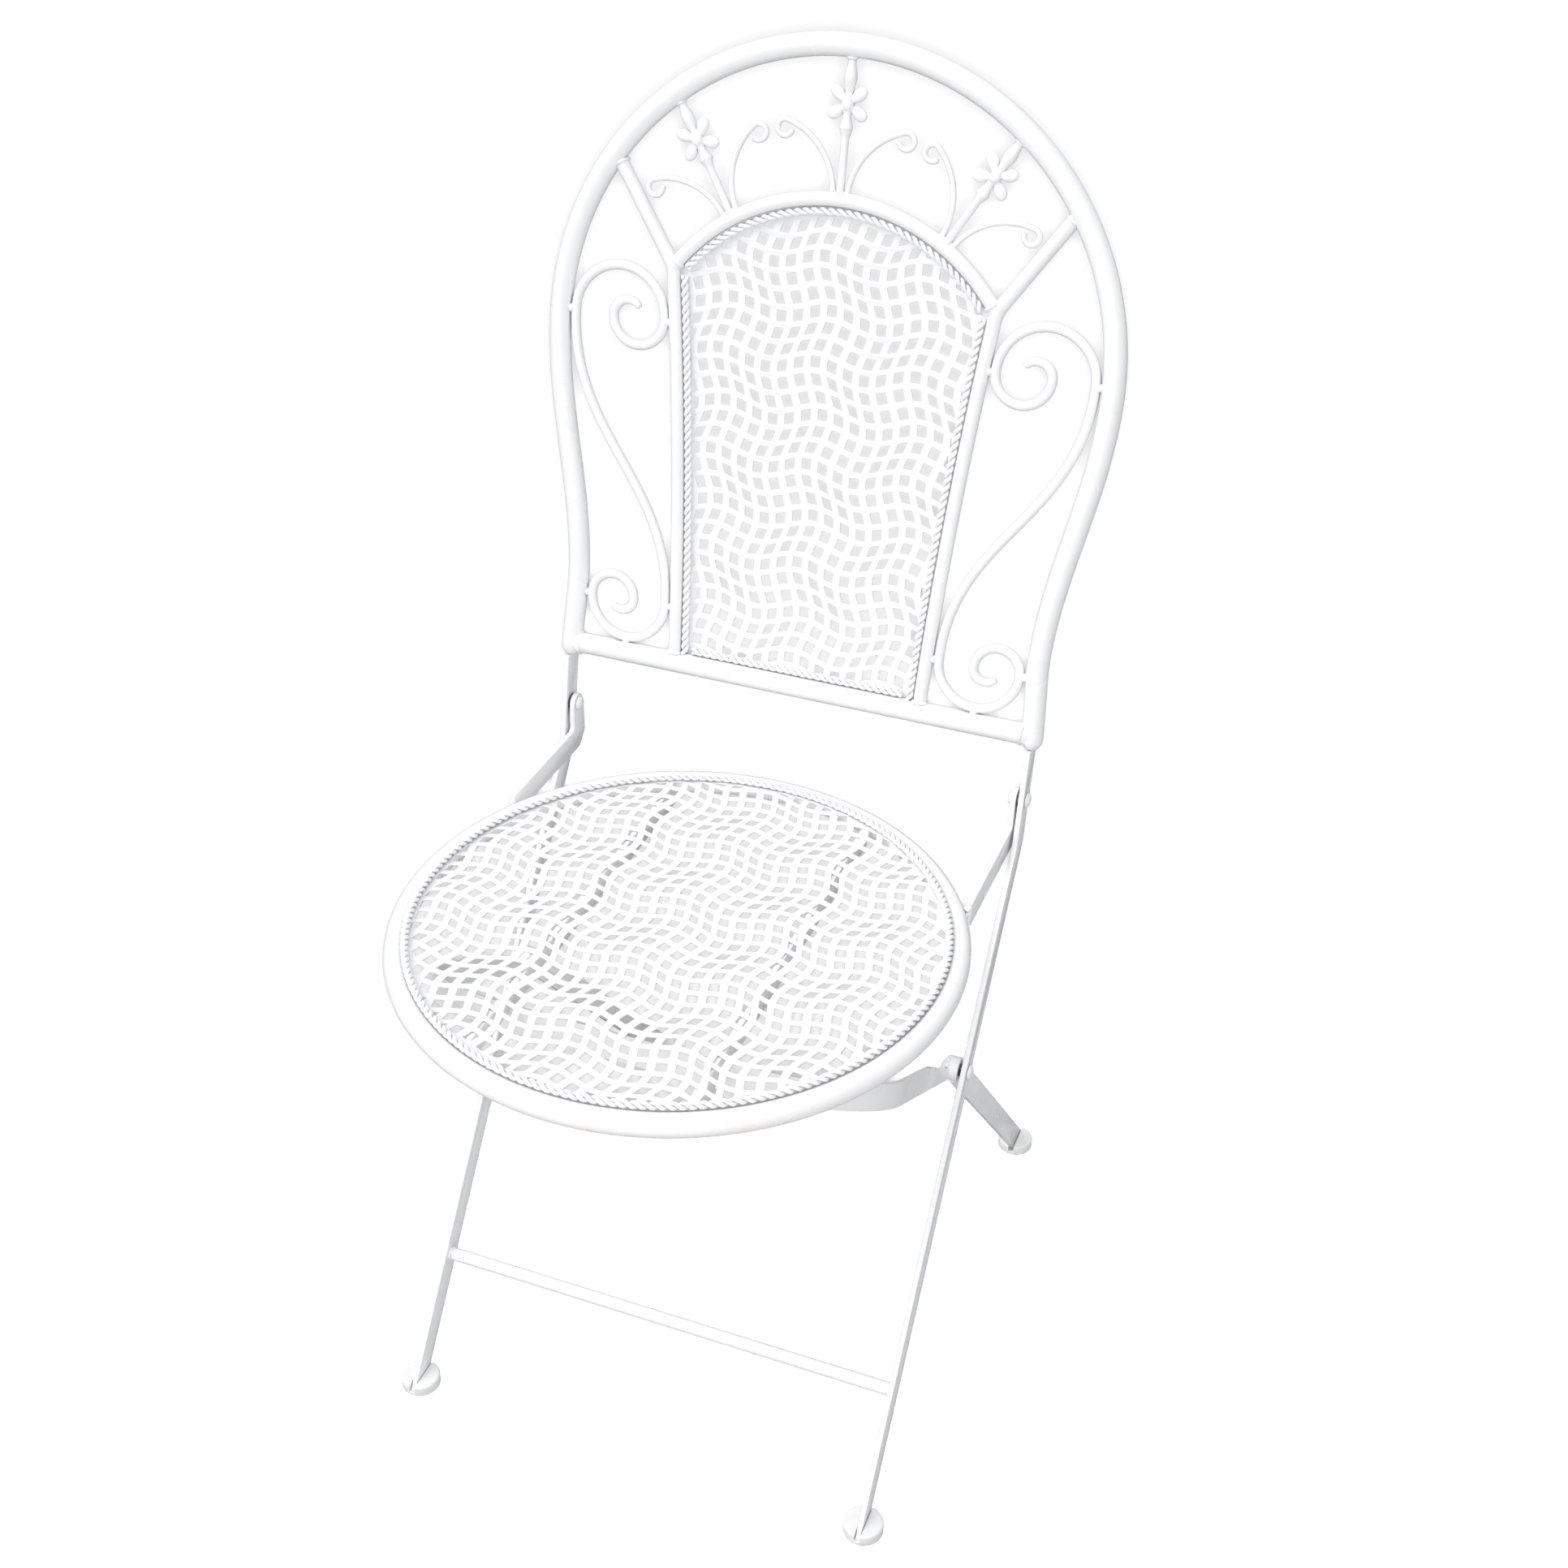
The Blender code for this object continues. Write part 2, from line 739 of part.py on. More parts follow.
def make_front_leg(name, side):
    """A flat bar from the hoop's foot down past both pivots to the floor."""
    top = back_rail - back_direction * (hoop_skirt + gap)
    foot = at_height(front_foot, leg_direction, foot_floor + gap)
    left, right = bar_edges(filleted([top, leg_bend, foot], leg_bend_radius), bar_width)
    left = levelled(left, leg_direction, foot.y)
    right = levelled(right, leg_direction, foot.y)
    loops = [left + right[::-1], circle(upper_pivot, pivot_hole_r, 12),
             circle(lower_pivot, pivot_hole_r, 12)]
    side_plate(name, loops, bar_thickness, side * leg_half, None, Vector((0, 0)))


def make_stretcher():
    half = leg_inner_x - gap
    path = [Vector((half, stretcher_point.x, stretcher_point.y)),
            Vector((-half, stretcher_point.x, stretcher_point.y))]
    tube("front_stretcher", path, stretcher_rod, None, sides=10)


def make_foot(name, x, leg_point, direction, parent, origin):
    """A moulded pad with a slot across it that takes the foot of a flat bar."""
    radius = foot_diameter / 2
    profile = ((0, foot_height), (radius - foot_edge, foot_height),
               (radius, foot_height - foot_edge), (radius, 0), (0, 0))
    back = at_height(leg_point, direction, foot_grip).x
    location = Vector((x, back, 0)) - Vector(origin)
    item = turned_body(name, profile, 24, parent, location, (0, 0, 0), ivory_plastic())
    tall = foot_height * 2
    mesh = bpy.data.meshes.new(name + "_slot")
    body = bmesh.new()
    size = Matrix.Diagonal((bar_thickness + 2 * gap, foot_diameter * 1.2, tall, 1))
    bmesh.ops.create_cube(body, size=1, matrix=size)
    body.to_mesh(mesh)
    body.free()
    slot = bpy.data.objects.new(mesh.name, mesh)
    slot.parent = item
    slot.location = (0, 0, foot_floor + tall / 2)
    slot.hide_render = True
    slot.display_type = "WIRE"
    cutters.objects.link(slot)
    cut(item, slot)


def make_rivet(name, side, pivot, inner):
    """A domed rivet through the bars of a pivot, from outside the leg to an inner face."""
    shank_r = rivet_shank / 2
    head_r = rivet_head / 2
    outer = leg_half + bar_thickness / 2 + gap
    steps = 3
    dome = []
    for i in range(steps + 1):
        angle = math.pi / 2 * i / steps
        dome.append((head_r * math.sin(angle), rivet_head_height * math.cos(angle)))
    profile = [(r, outer + h) for r, h in dome]
    profile += [(shank_r, outer), (shank_r, inner)]
    profile += [(r, inner - h) for r, h in dome[::-1]]
    turn = (0, side * math.pi / 2, 0)
    turned_body(name, profile, 10, None, (0, pivot.x, pivot.y), turn, white_enamel())


def make_washer(name, x, pivot, diameter, thickness):
    loops = [circle(Vector((0, 0)), diameter / 2, 14), circle(Vector((0, 0)), pivot_hole_r, 10)]
    plate(name, loops, thickness, None, (x, pivot.x, pivot.y), side_rotation, white_enamel())


def make_root():
    """Everything that is welded or riveted fast to the front legs and the back."""
    back = empty("back_plane", (0, back_rail.x, back_rail.y), (math.pi / 2 - back_lean, 0, 0))
    hoop_sleeve, arch_sleeve = make_back_frame(back)
    make_back_sheet(back)
    make_panel_trim(back)
    make_scrolls(back)
    for name, angle in (("center_sprig", 0.0), ("right_sprig", side_sprig_angle()),
                        ("left_sprig", -side_sprig_angle())):
        make_sprig(name, back, angle, hoop_sleeve, arch_sleeve)
    make_stretcher()
    arm_inner = arm_x - bar_thickness / 2 - gap
    bush_inner = bush_x - bush_length / 2 - gap
    for side, word in ((1, "right"), (-1, "left")):
        make_front_leg(word + "_front_leg", side)
        make_foot(word + "_front_foot", side * leg_half, front_foot, leg_direction, None, (0, 0, 0))
        make_rivet(word + "_seat_rivet", side, upper_pivot, arm_inner)
        make_rivet(word + "_leg_rivet", side, lower_pivot, bush_inner)
        make_washer(word + "_seat_washer", side * upper_washer_x, upper_pivot,
                    upper_washer_diameter, upper_washer_thickness)
        make_washer(word + "_leg_washer", side * lower_washer_x, lower_pivot,
                    lower_washer_diameter, lower_washer_thickness)


def trim_ring():
    """Radius and height of the wire trim that lies in the corner of the ring and the sheet."""
    height = sheet_top + gap + rope_r
    rise = height - ring_z
    reach = ring_tube_r + rope_r + gap
    return ring_r - math.sqrt(reach * reach - rise * rise), height


def make_seat_sheet(hinge, origin):
    """The round perforated sheet, inside the ring and under its wire trim."""
    half_chord = math.sqrt(ring_tube_r ** 2 - (sheet_bottom - ring_z) ** 2)
    edge_r = ring_r - half_chord - gap
    trim_r, _ = trim_ring()
    border_r = min(edge_r, trim_r - rope_r) - sheet_border

    def inside(p):
        return p.length < border_r

    def pull(p):
        return p * min(1.0, border_r / p.length)

    loops = [circle(Vector((0, 0)), edge_r, 40)] + wavy_holes(border_r, inside, pull)
    location = Vector((0, seat_y, (sheet_top + sheet_bottom) / 2)) - origin
    plate("seat_sheet", loops, sheet_thickness, hinge, location, (0, 0, 0), sheet_enamel())


def solve_arch_tilt():
    """The slope of the arch's plane that puts the crown's top edge just under its notch."""
    across = lower_pivot_back + crown_forward
    rise = seat_rail_bottom + notch_depth - gap - lower_pivot_height
    tilt = math.atan2(rise, across)
    for _ in range(40):
        top = (bar_width * math.cos(tilt) + bar_thickness * math.sin(tilt)) / 2
        tilt = math.atan2(rise - top, across)
    return tilt


arch_tilt = solve_arch_tilt()
arch_reach = (lower_pivot_back + crown_forward) / math.cos(arch_tilt)


def make_seat_rail(name, x, hinge, origin):
    """A bar on edge under the sheet, with a notch where the support arch's crown seats."""
    outer = abs(x) + bar_thickness / 2
    half = math.sqrt((ring_r - ring_tube_r - gap) ** 2 - outer ** 2)
    sine, cosine = math.sin(arch_tilt), math.cos(arch_tilt)
    crown_z = lower_pivot_height + arch_reach * sine
    along = (seat_rail_bottom - crown_z - bar_thickness / 2 * sine) / cosine
    face = along * sine - bar_thickness / 2 * cosine
    front = face - crown_forward - gap / cosine
    rear = (bar_width * sine + bar_thickness * cosine) / 2 - crown_forward + notch_play
    shelf = seat_rail_bottom + notch_depth
    low = seat_rail_bottom
    corners = ((-half, seat_rail_top), (-half, low), (front, low), (front, shelf), (rear, shelf),
               (rear + notch_ramp, low), (half, low), (half, seat_rail_top))
    loop = [side_point(back, height) for back, height in corners]
    moved = Vector((origin[1], origin[2]))
    side_plate(name, [loop], bar_thickness, x, hinge, moved)


def make_arm(name, side, hinge, origin):
    """A flat arm that drops from the upper pivot and turns forward to the seat ring."""
    half = bar_width / 2
    head = arm_head_width / 2
    inner_face = arm_x - bar_thickness / 2 - gap
    tip = seat_y + math.sqrt(ring_outer_r ** 2 - inner_face ** 2)
    low, high = ring_z - half, ring_z + half
    front, rear = upper_pivot.x - half, upper_pivot.x + half
    kink = upper_pivot.y - head - 2 * (half - head)
    inner = filleted([Vector((tip, high)), Vector((front, high)), Vector((front, kink))],
                     arm_bend_radius, 3)
    arm = Vector((-head, 0))
    outline = [Vector((tip, low))] + inner + [upper_pivot + arm]
    outline += round_end(upper_pivot, arm) + [upper_pivot - arm, Vector((rear, kink))]
    outline += [Vector((rear, low + arm_corner_cut)), Vector((rear - arm_corner_cut, low))]
    loops = [outline, circle(upper_pivot, pivot_hole_r, 12)]
    moved = Vector((origin[1], origin[2]))
    side_plate(name, loops, bar_thickness, side * arm_x, hinge, moved)


def make_seat():
    """The ring, its perforated sheet, trim, rails and arms, which fold about the upper pivot."""
    origin = Vector((0, upper_pivot.x, upper_pivot.y))
    hinge = empty("seat_hinge", origin, (0, 0, 0))
    ring = [p.to_3d() for p in circle(Vector((0, 0)), ring_r, 40)]
    tube("seat_ring", ring, ring_tube, hinge, sides=8, cyclic=True,
         location=Vector((0, seat_y, ring_z)) - origin)
    make_seat_sheet(hinge, origin)
    trim_r, trim_z = trim_ring()
    trim = [p.to_3d() for p in circle(Vector((0, 0)), trim_r, 40)]
    tube("seat_trim", trim, rope_diameter, hinge, sides=6, cyclic=True,
         location=Vector((0, seat_y, trim_z)) - origin)
    for side, word in ((1, "right"), (-1, "left")):
        make_seat_rail(word + "_seat_rail", side * seat_rail_spacing / 2, hinge, origin)
        make_arm(word + "_seat_arm", side, hinge, origin)


def make_rear_leg(name, side, hinge, origin):
    """A flat bar whose head is hollowed to the pivot bush."""
    foot = at_height(rear_foot, rear_leg_direction, foot_floor + gap)
    clear = bush_r + gap
    start = bush_r / 2
    down = -rear_leg_direction
    turn = math.acos(start / clear)
    heading = math.atan2(down.y, down.x)
    path = [lower_pivot + down * start, foot]
    left, right = bar_edges(path, rear_bar_width)
    left = levelled(left, down, foot.y)
    right = levelled(right, down, foot.y)
    hollow = arc(lower_pivot, clear, heading - turn, heading + turn, 10)
    side_plate(name, [left + right[::-1] + hollow], bar_thickness, side * rear_leg_x, hinge,
               Vector((origin[1], origin[2])))


def make_bush(name, side, hinge):
    """The bored bush at the lower pivot, which carries a rear leg and an end of the arch."""
    half = bush_length / 2
    profile = ((pivot_hole_r, half), (bush_r - bush_edge, half), (bush_r, half - bush_edge),
               (bush_r, -half + bush_edge), (bush_r - bush_edge, -half), (pivot_hole_r, -half))
    turned_body(name, profile, 16, hinge, (side * bush_x, 0, 0), (0, math.pi / 2, 0),
                white_enamel(), closed=True)


def make_support_arch(hinge):
    """A flat bar bent to an arch, from the bushes up to the seat rails, with narrowed ends."""
    start = bush_r * 0.4
    bend = arch_reach - arch_corner_radius
    right = [Vector((arch_x, start + (arch_neck_length - start) * i / 5)) for i in range(6)]
    right.append(Vector((arch_x, (arch_neck_length + bend) / 2)))
    right += arc(Vector((arch_x - arch_corner_radius, bend)), arch_corner_radius, 0, math.pi / 2, 10)
    path = right + mirrored(right, -1)[::-1]
    normals = path_normals(path)
    mesh = bpy.data.meshes.new("support_arch")
    body = bmesh.new()
    rings = []
    for point, normal in zip(path, normals):
        lower = bar_width / 2
        share = min(point.y / arch_neck_length, 1)
        upper = arch_neck_depth * (1 + math.cos(math.pi * share)) / 2 - lower
        arm = normal * bar_thickness / 2
        corners = ((point + arm, lower), (point - arm, lower), (point - arm, upper),
                   (point + arm, upper))
        rings.append([body.verts.new((p.x, p.y, height)) for p, height in corners])
    for ring, after in zip(rings, rings[1:]):
        for i in range(4):
            body.faces.new((ring[i], ring[(i + 1) % 4], after[(i + 1) % 4], after[i]))
    body.faces.new(rings[0][::-1])
    body.faces.new(rings[-1])
    bmesh.ops.recalc_face_normals(body, faces=body.faces)
    body.to_mesh(mesh)
    body.free()
    item = bpy.data.objects.new("support_arch", mesh)
    place(item, hinge, (0, 0, 0), (math.pi - arch_tilt, 0, 0), white_enamel())
    reach = Vector((arch_x + bar_thickness, 0, 0))
    middle = bush_x - bush_length / 2
    for side, word in ((1, "right"), (-1, "left")):
        ends = [Vector((side * (middle - bar_thickness), 0, 0)), side * reach]
        blank = sleeve(word + "_bush_sleeve", ends, bush_diameter, item, sides=16)
        cut(item, blank)


def make_rear_frame():
    """The rear legs, the pivot bushes and the support arch, which fold about the lower pivot."""
    origin = Vector((0, lower_pivot.x, lower_pivot.y))
    hinge = empty("rear_leg_hinge", origin, (0, 0, 0))
    for side, word in ((1, "right"), (-1, "left")):
        make_rear_leg(word + "_rear_leg", side, hinge, origin)
        make_bush(word + "_pivot_bush", side, hinge)
        make_foot(word + "_rear_foot", side * rear_leg_x, rear_foot, rear_leg_direction, hinge,
                  origin)
    make_support_arch(hinge)


clear_scene()
make_root()
make_seat()
make_rear_frame()
bpy.context.view_layer.update()
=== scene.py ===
"""Looks of the folding garden chair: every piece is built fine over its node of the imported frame."""
from math import acos, atan2, copysign, cos, exp, pi, radians, sin, sqrt, tan

import bmesh
import bpy
from mathutils import Matrix, Vector, noise


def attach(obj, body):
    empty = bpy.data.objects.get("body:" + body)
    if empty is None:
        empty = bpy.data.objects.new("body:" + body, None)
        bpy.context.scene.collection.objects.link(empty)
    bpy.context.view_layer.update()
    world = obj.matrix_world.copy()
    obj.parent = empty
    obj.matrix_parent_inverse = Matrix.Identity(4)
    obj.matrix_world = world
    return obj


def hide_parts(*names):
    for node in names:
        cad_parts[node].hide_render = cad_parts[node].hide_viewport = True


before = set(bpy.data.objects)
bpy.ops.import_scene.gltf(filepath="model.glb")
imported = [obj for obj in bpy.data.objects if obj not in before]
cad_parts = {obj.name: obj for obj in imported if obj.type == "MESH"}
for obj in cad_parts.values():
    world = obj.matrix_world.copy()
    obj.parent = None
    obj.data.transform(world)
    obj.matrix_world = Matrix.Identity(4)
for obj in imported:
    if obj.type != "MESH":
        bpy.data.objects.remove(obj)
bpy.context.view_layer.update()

# Fits and stock sizes
gap = 0.0003
hole_clearance = 0.0004
bar_width = 0.018
bar_thickness = 0.004
rear_bar_width = 0.0195
hoop_tube = 0.016
rail_tube = 0.016
ring_tube = 0.016
panel_tube = 0.010
stretcher_rod = 0.010
scroll_rod = 0.007
stem_rod = 0.0055
tendril_wire = 0.004
rope_diameter = 0.0045
shown_rope_diameter = 0.0060
shown_rope_lift = 0.0006
sheet_thickness = 0.0015

# Seat
seat_height = 0.430
ring_diameter = 0.384
ring_drop = 0.005
sheet_rise = 0.0005
seat_rail_spacing = 0.154
seat_rail_height = 0.016
seat_rail_bevel = 0.0004
notch_depth = 0.005
notch_play = 0.0006
notch_ramp = 0.006

# Side view: distances behind the seat's centre, and heights above the floor
front_foot_forward = 0.103
rear_foot_back = 0.345
lower_pivot_back = 0.100
lower_pivot_height = 0.281
stretcher_height = 0.087
leg_bend_height = 0.420
back_rail_height = 0.504
upper_pivot_height = 0.455
crown_forward = 0.107
back_lean = radians(11.5)

# Front view
leg_spacing = 0.368
waist_width = 0.362
hoop_width = 0.412
hoop_rise = 0.453
waist_rise = 0.050
hoop_skirt = 0.010
hoop_nose = 0.006
rail_inset = 0.003
rod_step = 0.02

# Back panel, on the plane of the hoop
panel_bottom_width = 0.195
panel_top_width = 0.238
panel_side_bow = 0.003
panel_shoulder_rise = 0.293
panel_top_rise = 0.353
shoulder_bend = 0.012
strut_hoop_rise = 0.366

# Scrolls
scroll_top_rise = 0.2535
scroll_sweep = 0.095
curl_ratio = 0.57
eye_ratio = 0.32
scroll_tip = 0.82
scroll_tip_steps = 12

# Sprigs
sprig_angle = radians(31.4)
casting_share = 0.60
heart_diameter = 0.0085
petal_length = 0.0145
petal_width = 0.0105
petal_thickness = 0.0055
petal_spread = 0.0090
collar_rim = 0.0005
stem_in_flower = 0.002
stem_step = 0.004
# Collar, heart and bud: middle and reach as shares of the casting, and diameter
collar_middle, heart_middle = 0.12, 0.37
swellings = (((collar_middle, 0.13), 0.0085), ((heart_middle, 0.12), heart_diameter),
             ((0.66, 0.18), 0.0090))
tendril_radius = 0.050
tendril_turn = radians(75)
curl_radius = 0.0055
curl_turn = radians(265)

# Perforated sheets
hole_size = (0.0069, 0.0080)
sheet_bevel = 0.00045
hole_corner_share = 0.24
least_hole_width = 0.0017
waves_per_pitches = 6
# Pitch, height and start of the waves, first hole, turn of the grid
back_grid = ((0.01239, 0.01222), (0.00458, 0.00431), (3.390, 1.843), (-0.00303, 0.00428), 0)
seat_grid = ((0.01229, 0.01222), (0.00435, 0.00469), (1.669, 2.287), (0.00307, -0.00182), -0.046)
back_border_share, seat_border_share = 0.7, 0.3
rope_pitch = 0.0122
rope_steps = 14

# Pivots
rivet_shank = 0.006
rivet_head = 0.011
rivet_head_height = 0.0032
upper_washer, upper_washer_thickness = 0.013, 0.0015
lower_washer, lower_washer_thickness = 0.010, 0.0019
washer_bevel = 0.0003
bush_diameter = 0.018
bush_length = 0.0105
bush_edge = 0.0012
rear_leg_from_bush = 0.0010

# Support arch
arch_corner_radius = 0.100
arch_neck_length = 0.085
arch_neck_depth = 0.009

# Bends of the flat bars
leg_bend_radius = 0.030
arm_bend_radius = 0.004
arm_head_width = 0.0155
arm_corner_cut = 0.010

# Feet
foot_diameter = 0.030
foot_height = 0.0095
foot_edge = 0.002
foot_floor = 0.0035
foot_chamfer = 0.0006
foot_softening = 0.0004

# Welds
thin_bead, bead, thick_bead = 0.0013, 0.0014, 0.0016
scroll_nub, tendril_nub, arm_nub, rail_nub = 0.0032, 0.0024, 0.0024, 0.0026
leg_nub, arch_nub = 0.0017, 0.0018
leg_nub_shift = 0.0016
nub_lift = 0.0002
arm_nub_lift = 0.0004
arm_nub_step, rail_nub_drop = 0.005, 0.005
stretcher_weld_inset = 0.0006

# Shade painted into crevices
crevice_reach = 0.0035
crevice_range = (0.10, 0.55)
crevice_dark = 0.45
faint_crevice_dark = 0.75

# Floor, light and camera
floor_color = (0.34, 0.34, 0.34)
floor_in_bounces = (0.12, 0.12, 0.12)
floor_behind_sheets = 0.84
sheet_open_share = 0.38
sky_color = (0.97, 0.985, 1.0)
sky_strength = 0.71
sky_in_gloss = 0.85
key_strength = 1.42
key_angle = 50
key_color = (1.0, 0.99, 0.975)
key_from = (-0.55, -0.42, 0.72)
warm_power = 0.25
warm_size = 0.25
warm_color = (1.0, 0.72, 0.42)
warm_place = (0.20, -0.62, 0.16)
fill_power = 0.32
floor_fill_power = 4.2
fill_size = 0.014
camera_place = (0.463, -1.1032, 1.277)
camera_azimuth = radians(20.70)
camera_elevation = radians(32.96)
camera_roll = radians(-0.94)
camera_lens = 47.12

# Values that follow from the sizes above
sides = ((1, "right"), (-1, "left"))
sprigs = (("center", 0.0), ("right", sprig_angle), ("left", -sprig_angle))
tube_r = hoop_tube / 2
rail_r = rail_tube / 2
ring_r = ring_diameter / 2
ring_tube_r = ring_tube / 2
ring_z = seat_height - ring_drop
ring_outer_r = ring_r + ring_tube_r
panel_r = panel_tube / 2
rope_r = shown_rope_diameter / 2
bush_r = bush_diameter / 2
leg_half = leg_spacing / 2
waist_half = waist_width / 2
hoop_half = hoop_width / 2
hoop_center_rise = hoop_rise - hoop_half
sheet_top = seat_height + sheet_rise
sheet_bottom = sheet_top - sheet_thickness
seat_rail_top = sheet_bottom - gap
seat_rail_bottom = seat_rail_top - seat_rail_height
foot_grip = (foot_floor + foot_height) / 2
pivot_hole_r = rivet_shank / 2 + hole_clearance

rear_slope = (rear_foot_back - lower_pivot_back) / lower_pivot_height
rear_pad_back = rear_foot_back - rear_slope * foot_grip
seat_y = (ring_outer_r - rear_pad_back - foot_diameter / 2) / 2


def vec(*numbers):
    return Vector(numbers)


def side_point(back, height):
    """A point of the side view, as a distance behind the seat's centre and a height."""
    return vec(seat_y + back, height)


def at_height(point, direction, height):
    """The point of a line of the side view at a height."""
    return point + direction * ((height - point.y) / direction.y)


front_foot = side_point(-front_foot_forward, 0)
rear_foot = side_point(rear_foot_back, 0)
lower_pivot = side_point(lower_pivot_back, lower_pivot_height)
leg_direction = (lower_pivot - front_foot).normalized()
rear_leg_direction = (lower_pivot - rear_foot).normalized()
leg_bend = at_height(front_foot, leg_direction, leg_bend_height)
stretcher_point = at_height(front_foot, leg_direction, stretcher_height)
back_direction = vec(sin(back_lean), cos(back_lean))
back_rail = at_height(leg_bend, back_direction, back_rail_height)
upper_pivot = at_height(leg_bend, back_direction, upper_pivot_height)

leg_inner_x = leg_half - bar_thickness / 2
upper_washer_x = leg_inner_x - gap - upper_washer_thickness / 2
arm_x = upper_washer_x - upper_washer_thickness / 2 - gap - bar_thickness / 2
lower_washer_x = leg_inner_x - gap - lower_washer_thickness / 2
bush_x = lower_washer_x - lower_washer_thickness / 2 - gap - bush_length / 2
rear_leg_x = bush_x + rear_leg_from_bush
arch_x = bush_x - bush_length / 2 + bar_thickness / 2

back_matrix = Matrix.Translation((0, back_rail.x, back_rail.y))
back_matrix = back_matrix @ Matrix.Rotation(pi / 2 - back_lean, 4, "X")
flat_bevel = 0.0006


# Materials

def wire(tree, target, inputs):
    """Gives each input of a node its value, or a link from another node's output."""
    for key, value in inputs.items():
        if isinstance(value, bpy.types.NodeSocket):
            tree.links.new(value, target.inputs[key])
        else:
            target.inputs[key].default_value = value


def adjust(made, **settings):
    """Sets attributes of something new, and gives it back."""
    for key, value in settings.items():
        setattr(made, key, value)
    return made


def add_node(tree, kind, inputs, **settings):
    made = adjust(tree.nodes.new("ShaderNode" + kind), **settings)
    wire(tree, made, inputs)
    return made


def material(name):
    made = bpy.data.materials.new(name)
    made.use_nodes = True
    return made, made.node_tree, made.node_tree.nodes["Principled BSDF"]


def cloudy(tree, scale, detail=2):
    """Noise over a piece, in the piece's own coordinates."""
    coords = add_node(tree, "TexCoord", {}).outputs["Object"]
    inputs = {"Scale": scale, "Detail": detail, "Roughness": 0.55, "Vector": coords}
    return add_node(tree, "TexNoise", inputs).outputs["Fac"]


def ramp(tree, source, stops):
    """Colours at given values of a source."""
    made = add_node(tree, "ValToRGB", {"Fac": source})
    elements = made.color_ramp.elements
    while len(elements) < len(stops):
        elements.new(0.5)
    for element, (position, color) in zip(elements, stops):
        adjust(element, position=position, color=(*color, 1))
    return made.outputs["Color"]


def mapped(tree, source, low, high, to_low, to_high, **settings):
    """A value brought from one range to another."""
    inputs = {"Value": source, "From Min": low, "From Max": high, "To Min": to_low, "To Max": to_high}
    return add_node(tree, "MapRange", inputs, **settings).outputs["Result"]


def computed(tree, operation, a, b, **settings):
    return add_node(tree, "Math", {0: a, 1: b}, operation=operation, **settings).outputs["Value"]


def mixed(tree, share, a, b, way="MIX"):
    inputs = {"Factor": share, "A": a, "B": b}
    return add_node(tree, "Mix", inputs, data_type="RGBA", blend_type=way).outputs["Result"]


def bumps(tree, *layers):
    """Bump from several heights, each an output with its strength and its depth in metres."""
    below = {}
    for height, strength, depth in layers:
        inputs = {"Height": height, "Strength": strength, "Distance": depth, **below}
        below = {"Normal": add_node(tree, "Bump", inputs).outputs["Normal"]}
    return below["Normal"]


def crevice_shaded(tree, color, dark=crevice_dark):
    """A colour darkened in crevices by an ambient occlusion node: painted shade."""
    crevice = add_node(tree, "AmbientOcclusion", {"Distance": crevice_reach}, samples=8)
    share = mapped(tree, crevice.outputs["AO"], *crevice_range, dark, 1.0)
    return mixed(tree, 1.0, color, share, "MULTIPLY")


def enamel(name, light, shade, warm, peel=0.14, dark=crevice_dark):
    """Glossy white paint with a soft orange peel, faint cloudiness and runs in its thickness."""
    made, tree, shader = material(name)
    cloud = cloudy(tree, 14, 3)
    color = ramp(tree, cloud, ((0.30, shade), (0.55, light), (0.75, warm)))
    dust = ramp(tree, cloudy(tree, 240), ((0.66, (1, 1, 1)), (0.74, (0.93, 0.92, 0.90))))
    # Painted shade: the base colour darkens in crevices and narrow gaps
    wire(tree, shader, {
        "Base Color": crevice_shaded(tree, mixed(tree, 0.2, color, dust, "MULTIPLY"), dark),
        "Roughness": mapped(tree, cloud, 0.3, 0.7, 0.22, 0.34),
        "IOR": 1.5, "Coat Weight": 0.35, "Coat Roughness": 0.12,
        "Normal": bumps(tree, (cloudy(tree, 420), peel, 0.00004), (cloudy(tree, 60), peel, 0.00008))})
    return made


def washer_gap_shadow(name):
    """Near-black paint for the washers: painted shadow of the slits at the pivots, patched like paint
    worn through to steel.
    """
    made, tree, shader = material(name)
    chip = cloudy(tree, 190, 4)
    steel, worn, left = (0.012, 0.012, 0.013), (0.03, 0.03, 0.03), (0.45, 0.45, 0.44)
    wire(tree, shader, {
        "Base Color": ramp(tree, chip, ((0.40, steel), (0.55, worn), (0.66, left))),
        "Roughness": mapped(tree, chip, 0.4, 0.6, 0.6, 0.3),
        "Normal": bumps(tree, (cloudy(tree, 900, 3), 0.3, 0.0002), (chip, 0.5, 0.0004))})
    return made


def plastic(name):
    """Moulded off-white plastic with a fine sparked texture and scuffs near the floor."""
    made, tree, shader = material(name)
    scuff = cloudy(tree, 260, 4)
    place = add_node(tree, "NewGeometry", {}).outputs["Position"]
    height = add_node(tree, "SeparateXYZ", {"Vector": place}).outputs["Z"]
    worn = computed(tree, "MULTIPLY", mapped(tree, height, 0.0, 0.005, 1.0, 0.0),
                    mapped(tree, scuff, 0.45, 0.62, 0.0, 0.8))
    color = ramp(tree, cloudy(tree, 45, 3), ((0.35, (0.77, 0.775, 0.775)), (0.65, (0.81, 0.815, 0.81))))
    # Painted shade: the base colour darkens in crevices, such as the slot
    wire(tree, shader, {
        "Base Color": crevice_shaded(tree, mixed(tree, worn, color, (0.56, 0.53, 0.48, 1))),
        "Roughness": mapped(tree, scuff, 0.3, 0.7, 0.42, 0.6),
        "Normal": bumps(tree, (cloudy(tree, 1500), 0.2, 0.0001))})
    return made


